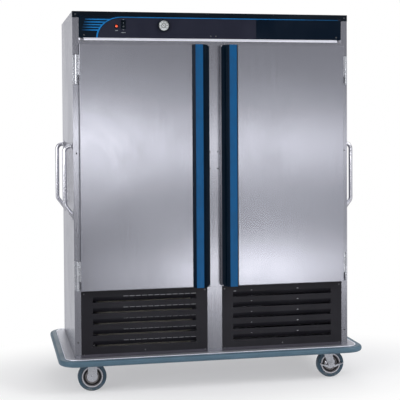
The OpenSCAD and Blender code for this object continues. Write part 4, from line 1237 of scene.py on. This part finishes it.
class CART_OT_doors(bpy.types.Operator):
    """Make the doors' outer pans with their rolled edges"""

    bl_idname = "cart.doors"
    bl_label = "Doors"
    bl_options = {"REGISTER", "UNDO"}

    def execute(self, context):
        size = sizes()
        for side in SIDES:
            node = f"door_{side}_panel"
            low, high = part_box(node)
            bm = bmesh.new()
            add_block(bm, low, high)
            back = [face for face in bm.faces if face.normal.y > 0.5]
            bmesh.ops.delete(bm, geom=back, context="FACES_ONLY")
            round_edges(bm, size.sheet_edge, segments=4)
            pan = new_piece(f"door_{side}_pan", bm, "door_steel", f"door_{side}", node)
            wall = pan.modifiers.new("wall", "SOLIDIFY")
            wall.thickness = size.door_wall
            wall.offset = -1
            pan.modifiers.move(1, 0)
        return {"FINISHED"}


class CART_OT_door_handles(bpy.types.Operator):
    """Make the full-height handles with their ribs and coloured strips"""

    bl_idname = "cart.door_handles"
    bl_label = "Door handles"
    bl_options = {"REGISTER", "UNDO"}

    # Where a ridge and a groove of the lip start and end, as shares of their own width
    RIDGE = (0.25, 1.0)
    GROOVE = (0.15, 0.85)
    # Depth of the coloured strip's crown, as a share of the strip's thickness
    CROWN = 0.8
    CROWN_STEPS = 12

    def execute(self, context):
        for side, sign in SIDES.items():
            self.make_handle(side, sign)
            self.make_strip(side, sign)
        return {"FINISHED"}

    def section(self, free, back, front, width):
        """Outline of the extrusion from its free edge, as (x, y) points."""
        size = sizes()
        lip_start = free + size.grip_width - size.grip_lip
        lip_end = free + size.grip_width
        wall = lip_end - size.grip_wall
        points = [
            (free, back), (free, back - size.grip_floor), (wall, back - size.grip_floor),
            (wall, front + size.grip_wall + size.grip_drop),
            (lip_start, front + size.grip_drop + size.grip_wall / 2),
            (lip_start, front + size.grip_drop),
        ]
        share = 1 / (2 * size.rib_count + 1)
        for rib in range(2 * size.rib_count):
            sunk = size.rib_depth if rib % 2 else 0
            for part in self.GROOVE if rib % 2 else self.RIDGE:
                at = (rib + part) * share
                points.append((lip_start + at * size.grip_lip,
                               front + (1 - at) * size.grip_drop + sunk))
        points += [
            (lip_end, front), (lip_end, front + size.strip_recess),
            (lip_end + size.strip_width, front + size.strip_recess),
            (lip_end + size.strip_width, front), (free + width, back),
        ]
        return points

    def make_handle(self, side, sign):
        """The extrusion with its ribbed lip, cut at a slant at both ends."""
        size = sizes()
        node = f"door_{side}_handle"
        low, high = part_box(node)
        free = min(abs(low.x), abs(high.x))
        outline = self.section(free, high.y, low.y, high.x - low.x)
        bm = bmesh.new()
        add_prism(bm, [(sign * x, y, low.z) for x, y in outline], (0, 0, high.z - low.z))
        tidy_normals(bm)
        for z, up in ((low.z, -1), (high.z, 1)):
            cut = bmesh.ops.bisect_plane(
                bm, geom=bm.verts[:] + bm.edges[:] + bm.faces[:],
                plane_co=(sign * (free + size.end_cut), 0, z),
                plane_no=(-sign, 0, up), clear_outer=True,
            )
            edges = [part for part in cut["geom_cut"] if isinstance(part, bmesh.types.BMEdge)]
            bmesh.ops.contextual_create(bm, geom=edges)
        tidy_normals(bm)
        round_edges(bm, size.fine_edge)
        new_piece(f"door_{side}_grip", bm, "grip_plastic", f"door_{side}", node)

    def make_strip(self, side, sign):
        """A crowned strip, so that it catches the light along one side."""
        node = f"door_{side}_insert"
        low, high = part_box(node)
        width = high.x - low.x
        outline = [(low.x, high.y), (high.x, high.y)]
        for step in range(self.CROWN_STEPS + 1):
            share = step / self.CROWN_STEPS
            fall = self.CROWN * (2 * share - 1) ** 2
            outline.append((high.x - width * share, low.y + (high.y - low.y) * fall))
        bm = bmesh.new()
        add_prism(bm, [(x, y, low.z) for x, y in outline], (0, 0, high.z - low.z))
        tidy_normals(bm)
        new_piece(f"door_{side}_strip", bm, "blue_strip", f"door_{side}", node)


class CART_OT_control_film(bpy.types.Operator):
    """Print the control panel's film: its dark fields, stripes, arc, line and seam"""

    bl_idname = "cart.control_film"
    bl_label = "Control film"
    bl_options = {"REGISTER", "UNDO"}

    # Thickness of the printed layers, as shares of a printed mark's
    FIELD = 0.4
    STRIPE = 0.7
    ARC = 1.0
    # Where the shade below the arc ends, as a share of the arc's foot
    SHADE = 0.68
    ARC_STEPS = 24

    def execute(self, context):
        size = sizes()
        low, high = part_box("face_panel")
        crown = low.x + size.arc_inset
        foot = high.z - size.line_height / 2 - size.arc_foot / 2 - size.arc_height
        line = foot + size.arc_height
        line_end = high.x - size.line_end
        outer = self.arc(crown, foot, size.arc_foot / 2, size.line_height / 2)
        inner = self.arc(crown, foot, -size.arc_foot / 2, -size.line_height / 2)
        under = self.arc(crown, foot, -size.arc_foot * self.SHADE, -size.line_height)
        outside = [(low.x, low.z), (outer[0][0], low.z), *outer,
                   (line_end, line + size.line_height / 2), (line_end, high.z), (low.x, high.z)]
        self.mark("film_teal", [outside], self.FIELD, "teal_field")
        seam = high.x - size.seam_inset
        right = self.rectangle(seam, high.x, low.z, line - size.line_height / 2)
        self.mark("film_navy", [right], self.FIELD, "navy_field")
        arc = [*outer, (line_end, line + size.line_height / 2),
               (line_end, line - size.line_height / 2), *reversed(inner)]
        stripes = []
        for row in range(size.stripe_count):
            z = low.z + size.stripe_top - row * size.stripe_pitch
            start = low.x + size.stripe_start - row * size.stripe_lean
            rise = min(1.0, (z - foot) / size.arc_height)
            end = crown - size.arc_width * math.sqrt(1 - rise * rise)
            stripes.append(self.rectangle(start, end, z - size.stripe_height / 2,
                                          z + size.stripe_height / 2))
        self.mark("film_stripes", stripes, self.STRIPE, "print_blue")
        self.mark("film_arc", [arc], self.ARC, "print_blue")
        shade = [*inner, *reversed(under)]
        edge = self.rectangle(seam - size.seam_width, seam, low.z, line - size.line_height / 2)
        self.mark("film_shade", [shade, edge], self.STRIPE, "print_black")
        return {"FINISHED"}

    def arc(self, crown, foot, foot_step, crown_step):
        """Points of a quarter arc from its foot to its crown, offset outward at both ends."""
        size = sizes()
        points = []
        for step in range(self.ARC_STEPS + 1):
            share = step / self.ARC_STEPS
            turn = math.pi - share * math.pi / 2
            out = foot_step + (crown_step - foot_step) * share
            points.append((crown + (size.arc_width + out) * math.cos(turn),
                           foot + (size.arc_height + out) * math.sin(turn)))
        return points

    def rectangle(self, left, right, bottom, top):
        """Outline of a rectangle, as (x, z) points."""
        return [(left, bottom), (right, bottom), (right, top), (left, top)]

    def mark(self, name, outlines, share, look):
        """Lay thin printed shapes on the panel, as deep as a share of the film."""
        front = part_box("face_panel")[0].y
        bm = bmesh.new()
        for outline in outlines:
            add_slab(bm, outline, front, sizes().film * share)
        tidy_normals(bm)
        new_piece(name, bm, "panel_film", "root", look=look)


class CART_OT_dial(bpy.types.Operator):
    """Make the dial's ticks and numbers, and the grey band inside them"""

    bl_idname = "cart.dial"
    bl_label = "Dial"
    bl_options = {"REGISTER", "UNDO"}

    # The scale: its parts, the parts between numbers, its start and sweep in degrees
    PARTS = 36
    NUMBERED = 6
    START = 225
    SWEEP = 270
    # The first number, and the step to the next
    FIRST = -20
    STEP = 10
    # Shares of the dial's radius: long and short ticks, their outer end, the numbers' circle
    LONG_TICK = 0.20
    SHORT_TICK = 0.11
    TICK_END = 0.96
    NUMBERS = 0.64
    # Width of a long tick, as a share of a short tick's
    BOLD = 1.6
    # The band's inner and outer radius, as shares of the dial's
    BAND = (0.28, 0.52)
    # The band's thickness, as a share of a printed mark's
    BAND_DEPTH = 0.25

    def execute(self, context):
        size = sizes()
        low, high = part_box("thermometer_dial")
        centre = Vector(((low.x + high.x) / 2, low.y, (low.z + high.z) / 2))
        radius = (high.x - low.x) / 2
        bm = bmesh.new()
        for step in range(self.PARTS + 1):
            turn = math.radians(self.START - self.SWEEP * step / self.PARTS)
            main = step % self.NUMBERED == 0
            out = Vector((math.cos(turn), 0, math.sin(turn)))
            side = Vector((-out.z, 0, out.x))
            reach = self.LONG_TICK if main else self.SHORT_TICK
            width = size.dial_tick * (self.BOLD if main else 1)
            facing = Matrix((out, (0, 1, 0), side)).transposed().to_4x4()
            scale = Matrix.Diagonal((radius * reach, size.film, width, 1))
            place = centre + out * radius * (self.TICK_END - reach / 2)
            bmesh.ops.create_cube(bm, size=1, matrix=Matrix.Translation(place) @ facing @ scale)
            if main:
                number = str(self.FIRST + self.STEP * step // self.NUMBERED)
                place = centre + out * radius * self.NUMBERS
                add_words(bm, number, place, size.dial_text, size.film)
        tidy_normals(bm)
        new_piece("dial_scale", bm, "needle_black", "root")
        bm = bmesh.new()
        inner, outer = (radius * share for share in self.BAND)
        depth = size.film * self.BAND_DEPTH
        band = [(inner, 0), (outer, 0), (outer, depth), (inner, depth), (inner, 0)]
        add_turned(bm, band, centre, (0, -1, 0))
        tidy_normals(bm)
        new_piece("dial_band", bm, "dial_white", "root", look="dial_grey")
        return {"FINISHED"}


class CART_OT_lamp_ring(bpy.types.Operator):
    """Make the dark ring that holds the pilot light's lens"""

    bl_idname = "cart.lamp_ring"
    bl_label = "Lamp ring"
    bl_options = {"REGISTER", "UNDO"}

    # The ring's section: shares of the lens's radius, and heights in metres
    RING = ((0.86, 0), (1.55, 0), (1.5, 0.0018), (1.02, 0.0026), (0.86, 0.0010), (0.86, 0))

    def execute(self, context):
        low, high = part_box("pilot_light")
        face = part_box("face_panel")[0].y
        heart = middle("pilot_light")
        radius = (high.x - low.x) / 2
        bm = bmesh.new()
        profile = [(radius * share, rise) for share, rise in self.RING]
        add_turned(bm, profile, (heart.x, face, heart.z), (0, -1, 0))
        tidy_normals(bm)
        new_piece("pilot_ring", bm, "black_plastic", "root", look="print_black")
        return {"FINISHED"}


class CART_OT_switch_marks(bpy.types.Operator):
    """Make the bar for on and the ring for off, set in the rocker's two pads"""

    bl_idname = "cart.switch_marks"
    bl_label = "Switch marks"
    bl_options = {"REGISTER", "UNDO"}

    # Tilt of the rocker at rest, and slope of its pads, in degrees
    TILT = 8
    PAD = 10
    # The bar's width as a share of a dial tick's, and its depth as a share of a printed mark's
    BAR_WIDTH = 1.5
    BAR_DEPTH = 4
    # The ring's radius as a share of a dial number's height, and its wire as a share of a tick
    RING_RADIUS = 1 / 2.4
    RING_WIRE = 1.4

    def execute(self, context):
        size = sizes()
        heart = middle("switch_rocker")
        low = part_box("switch_rocker")[0]
        bm = bmesh.new()
        seat = Matrix.Translation((heart.x, low.y + size.mark_seat, heart.z))
        seat = seat @ Matrix.Rotation(math.radians(self.TILT), 4, "X")
        upper = Matrix.Translation((0, -size.mark_rise, size.mark_reach))
        upper = seat @ upper @ Matrix.Rotation(math.radians(-self.PAD), 4, "X")
        lower = Matrix.Translation((0, -size.mark_rise - size.mark_ring_rise, -size.mark_reach))
        lower = seat @ lower @ Matrix.Rotation(math.radians(self.PAD), 4, "X")
        add_hoop(bm, (0, 0, 0), (0, 1, 0), size.dial_text * self.RING_RADIUS,
                 size.dial_tick * self.RING_WIRE, steps=24)
        bmesh.ops.transform(bm, matrix=lower, verts=bm.verts[:])
        bar = Matrix.Diagonal((size.dial_tick * self.BAR_WIDTH, size.film * self.BAR_DEPTH,
                               size.dial_text, 1))
        bmesh.ops.create_cube(bm, size=1, matrix=upper @ bar)
        tidy_normals(bm)
        new_piece("rocker_marks", bm, "black_plastic", "switch_rocker", look="print_grey")
        return {"FINISHED"}


class CART_OT_legends(bpy.types.Operator):
    """Make the small plain marks by the switch and the lamp, and the bar below the switch"""

    bl_idname = "cart.legends"
    bl_label = "Legends"
    bl_options = {"REGISTER", "UNDO"}

    def execute(self, context):
        size = sizes()
        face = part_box("face_panel")[0].y
        low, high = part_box("switch_housing")
        heart = middle("switch_housing")
        lamp = middle("pilot_light")
        bm = bmesh.new()
        marks = (
            (heart.x, high.z + size.legend_gap, size.legend_width, size.legend_height),
            (heart.x, low.z - size.legend_gap, size.legend_width, size.legend_height),
            (heart.x, low.z - size.bar_drop, (high.x - low.x) / 2, size.bar_height),
            (lamp.x, lamp.z - size.lamp_drop, size.lamp_width, size.lamp_height),
        )
        for x, z, half_width, half_height in marks:
            add_block(bm, (x - half_width, face - size.film, z - half_height),
                      (x + half_width, face, z + half_height))
        tidy_normals(bm)
        new_piece("film_legends", bm, "panel_film", "root", look="print_grey")
        return {"FINISHED"}


class CART_OT_wheels(bpy.types.Operator):
    """Make the tyres' moulded forms, and the wheels' bright rings, hub caps and dark bands"""

    bl_idname = "cart.wheels"
    bl_label = "Wheels"
    bl_options = {"REGISTER", "UNDO"}

    # Radius of a wheel's rim, as a share of the tyre's
    RIM = 0.75
    # Sections on a wheel's faces: the face's share of half the tyre's width, then points as
    # shares of the rim's radius and heights in metres
    RING = (0.88, ((0.87, 0), (0.98, 0), (0.965, 0.0012), (0.885, 0.0012), (0.87, 0)))
    HUB_CAP = (0.55, ((0.34, 0), (0.54, 0), (0.50, 0.0022), (0.34, 0.0034), (0.34, 0)))
    DARK_BAND = (0.56, ((0.66, 0), (0.80, 0), (0.80, 0.001), (0.66, 0.001), (0.66, 0)))
    # Steps of a quarter circle round a tyre's shoulder
    SHOULDER_STEPS = 6

    def execute(self, context):
        for name in ("rigid_front", "rigid_back", "swivel_front", "swivel_back"):
            low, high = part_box("tyre_" + name)
            heart = middle("tyre_" + name)
            radius = (high.z - low.z) / 2
            half = (high.y - low.y) / 2
            rim = radius * self.RIM
            bm = bmesh.new()
            add_turned(bm, self.tyre_profile(rim, radius, half), heart, (0, 1, 0), steps=72)
            tidy_normals(bm)
            new_piece(f"tyre_{name}_form", bm, "tyre_rubber", "wheel_" + name, "tyre_" + name)
            bm = bmesh.new()
            self.add_section(bm, heart, rim, half, self.RING, steps=64)
            self.add_section(bm, heart, rim, half, self.HUB_CAP)
            tidy_normals(bm)
            new_piece(f"wheel_{name}_rings", bm, "wheel_core", "wheel_" + name,
                      look="handle_steel")
            bm = bmesh.new()
            self.add_section(bm, heart, rim, half, self.DARK_BAND)
            tidy_normals(bm)
            new_piece(f"wheel_{name}_shade", bm, "wheel_core", "wheel_" + name,
                      look="black_plastic")
        return {"FINISHED"}

    def add_section(self, bm, heart, rim, half, section, steps=48):
        """Turn a section from the table on both faces of a wheel."""
        share, points = section
        for sign in SIDES.values():
            face = sign * half * share
            profile = [(rim * radius, face + sign * rise) for radius, rise in points]
            add_turned(bm, profile, heart, (0, 1, 0), steps)

    def tyre_profile(self, rim, radius, half):
        """Closed outline of a tyre's section, with a raised line on each side wall."""
        size = sizes()
        wall = []
        for step in range(self.SHOULDER_STEPS + 1):
            turn = math.pi / 2 * step / self.SHOULDER_STEPS
            wall.append((radius - size.shoulder + size.shoulder * math.sin(turn),
                         half - size.shoulder + size.shoulder * math.cos(turn)))
        low = rim + size.tyre_gap
        line = rim + size.tyre_line
        side = [(low, half - size.tyre_step), (low + size.tyre_step, half - size.tyre_sink),
                (line, half - size.tyre_sink), (line + size.tyre_slope, half), *wall]
        lower = [(r, -along) for r, along in reversed(side)]
        return [*side, *lower, side[0]]


class CART_OT_louvre_glints(bpy.types.Operator):
    """Make bright plated dashes above the louvres, painted highlights of the louvres' top bends"""

    bl_idname = "cart.grille_tabs"
    bl_label = "Grille tabs"
    bl_options = {"REGISTER", "UNDO"}

    # Heights of the painted highlights in each row, from the lowest louvre up, as shares of the
    # usual height
    ROWS = (0.8, 0.6, 0.4, 0.9, 1.2)
    ROW_GLINTS = 12
    # Lone highlights: distance from the middle in metres, and shares of a highlight's length and
    # height
    LONE_GLINTS = ((0.464, 1 / 3, 2.0), (0.204, 1 / 4, 1.0))
    TOP_GLINT = (0.112, 1 / 2, 1.5)

    def execute(self, context):
        size = sizes()
        low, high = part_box("grilles")
        pitch = (high.z - low.z) / (len(self.ROWS) + 1)
        bm = bmesh.new()
        for row, share in enumerate(self.ROWS):
            z = low.z + (row + 1) * pitch + size.glint_lift
            for step in range(self.ROW_GLINTS):
                x = step * size.glint_pitch - size.glint_start
                self.add_glint(bm, low.y, z, x, 1, share)
            for glint in self.LONE_GLINTS:
                self.add_glint(bm, low.y, z + size.glint_rise, *glint)
        self.add_glint(bm, low.y, high.z - size.glint_drop, *self.TOP_GLINT)
        tidy_normals(bm)
        new_piece("grille_tabs", bm, "plated_steel", "root", look="louvre_glint")
        return {"FINISHED"}

    def add_glint(self, bm, face, z, x, length, height):
        """Add a painted highlight dash at (x, z), sized by shares of the usual length and height."""
        size = sizes()
        half = size.glint_length * length / 2
        add_block(bm, (x - half, face - size.film, z),
                  (x + half, face, z + size.glint_height * height))


class CART_OT_grille_feet(bpy.types.Operator):
    """Make the folded lip along the foot of each grille"""

    bl_idname = "cart.grille_feet"
    bl_label = "Grille feet"
    bl_options = {"REGISTER", "UNDO"}

    def execute(self, context):
        size = sizes()
        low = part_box("grilles")[0]
        for side, sign in SIDES.items():
            start = sign * size.flange_start
            end = sign * size.flange_end
            bm = bmesh.new()
            outline = [(low.y, low.z), (low.y, low.z + size.flange),
                       (low.y - size.film, low.z + size.flange - size.film),
                       (low.y - size.film * 3, low.z + size.film), (low.y - size.film * 3, low.z)]
            add_prism(bm, [(start, y, z) for y, z in outline], (end - start, 0, 0))
            tidy_normals(bm)
            new_piece(f"grille_flange_{side}", bm, "grille_paint", "root", look="foot_paint")
        return {"FINISHED"}


class CART_OT_fan_guards(bpy.types.Operator):
    """Make the wire guards of the evaporators' fans"""

    bl_idname = "cart.fan_guards"
    bl_label = "Fan guards"
    bl_options = {"REGISTER", "UNDO"}

    # Radii of a guard's hoops, as shares of the largest one's
    HOOPS = (0.25, 0.44, 0.63, 0.82, 1.0)
    # Turns of the rods across them in degrees, their reach past the largest hoop, and their
    # place behind the hoops as a share of the wire
    RODS = (30, 90, 150)
    ROD_REACH = 1.06
    ROD_BACK = 0.8

    def execute(self, context):
        size = sizes()
        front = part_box("evaporator_covers")[0].y - size.wire
        for side in SIDES:
            low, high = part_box("evaporator_fan_" + side)
            heart = middle("evaporator_fan_" + side)
            radius = (high.x - low.x) / 2 + size.guard_reach
            centre = Vector((heart.x, front, heart.z))
            bm = bmesh.new()
            for share in self.HOOPS:
                add_hoop(bm, centre, (0, 1, 0), radius * share, size.wire)
            rear = Vector((0, size.wire * self.ROD_BACK, 0))
            for angle in self.RODS:
                turn = math.radians(angle)
                across = Vector((math.cos(turn), 0, math.sin(turn))) * radius * self.ROD_REACH
                add_rod(bm, centre - across + rear, centre + across + rear, size.wire / 2)
            tidy_normals(bm)
            new_piece(f"fan_guard_{side}", bm, "plated_steel", "root")
        return {"FINISHED"}


class CART_OT_inlet_pins(bpy.types.Operator):
    """Make the three pins of the power inlet"""

    bl_idname = "cart.inlet_pins"
    bl_label = "Inlet pins"
    bl_options = {"REGISTER", "UNDO"}

    # Places of the pins on their circle, in degrees
    PINS = (90, 210, 330)

    def execute(self, context):
        size = sizes()
        heart = middle("power_inlet")
        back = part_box("back_panel")[1].y
        bm = bmesh.new()
        for angle in self.PINS:
            turn = math.radians(angle)
            x = heart.x + size.pin_circle * math.cos(turn)
            z = heart.z + size.pin_circle * math.sin(turn)
            start = (x, back - size.pin_foot, z)
            add_rod(bm, start, (x, back + size.pin_out, z), size.pin_radius)
        tidy_normals(bm)
        new_piece("inlet_pins", bm, "plated_steel", "root")
        return {"FINISHED"}


class CART_OT_hinge_screws(bpy.types.Operator):
    """Make the raised-head screws in the hinges' frame leaves"""

    bl_idname = "cart.hinge_screws"
    bl_label = "Hinge screws"
    bl_options = {"REGISTER", "UNDO"}

    # Heights of a leaf's screws, as shares of the leaf's height
    PLACES = (0.14, 0.5, 0.86)
    # A screw head's outline: shares of its radius, and heights in metres
    HEAD = ((0, 0.0012), (0.45, 0.0011), (0.9, 0.0005), (1, 0), (0, 0))

    def execute(self, context):
        size = sizes()
        head = [(size.hinge_screw * share, rise) for share, rise in self.HEAD]
        low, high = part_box("hinge_frame_leaves")
        face = high.y - size.hinge_leaf
        leaf = size.hinge_height
        bm = bmesh.new()
        for foot in (low.z, high.z + size.hinge_pin_drop - leaf):
            for share in self.PLACES:
                for sign in SIDES.values():
                    place = (sign * (high.x - size.hinge_inset), face, foot + leaf * share)
                    add_turned(bm, head, place, (0, -1, 0), steps=20)
        tidy_normals(bm)
        new_piece("hinge_screws", bm, "plated_steel", "root")
        return {"FINISHED"}


CLASSES = (
    CartSizes, CartColours, CartStudio, CART_OT_studio, CART_OT_finishes, CART_OT_sheet_metal,
    CART_OT_deck_edge, CART_OT_drip_lip, CART_OT_doors, CART_OT_door_handles,
    CART_OT_control_film, CART_OT_dial, CART_OT_lamp_ring, CART_OT_switch_marks,
    CART_OT_legends, CART_OT_wheels, CART_OT_louvre_glints, CART_OT_grille_feet,
    CART_OT_fan_guards, CART_OT_inlet_pins, CART_OT_hinge_screws,
)
STEPS = (
    "studio", "finishes", "sheet_metal", "deck_edge", "drip_lip", "doors", "door_handles",
    "control_film", "dial", "lamp_ring", "switch_marks", "legends", "wheels", "grille_tabs",
    "grille_feet", "fan_guards", "inlet_pins", "hinge_screws",
)


class CART_PT_panel(bpy.types.Panel):
    """Sizes, colours and steps of the cart"""

    bl_idname = "CART_PT_panel"
    bl_label = "Tray Cart"
    bl_space_type = "VIEW_3D"
    bl_region_type = "UI"
    bl_category = "Tray Cart"

    def draw(self, context):
        for group in (context.scene.cart_sizes, context.scene.cart_colours,
                      context.scene.cart_studio):
            box = self.layout.box()
            for name in group.bl_rna.properties.keys():
                if name not in ("rna_type", "name"):
                    box.prop(group, name)
        for step in STEPS:
            self.layout.operator("cart." + step)


def register():
    """Register the classes and the scene's settings."""
    for item in (*CLASSES, CART_PT_panel):
        bpy.utils.register_class(item)
    bpy.types.Scene.cart_sizes = PointerProperty(type=CartSizes)
    bpy.types.Scene.cart_colours = PointerProperty(type=CartColours)
    bpy.types.Scene.cart_studio = PointerProperty(type=CartStudio)


def unregister():
    """Take the classes and settings away again."""
    for name in ("cart_studio", "cart_colours", "cart_sizes"):
        delattr(bpy.types.Scene, name)
    for item in reversed((*CLASSES, CART_PT_panel)):
        bpy.utils.unregister_class(item)


def main():
    """Make every piece in turn."""
    register()
    for step in STEPS:
        getattr(bpy.ops.cart, step)()
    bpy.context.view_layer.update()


if __name__ == "__main__":
    main()
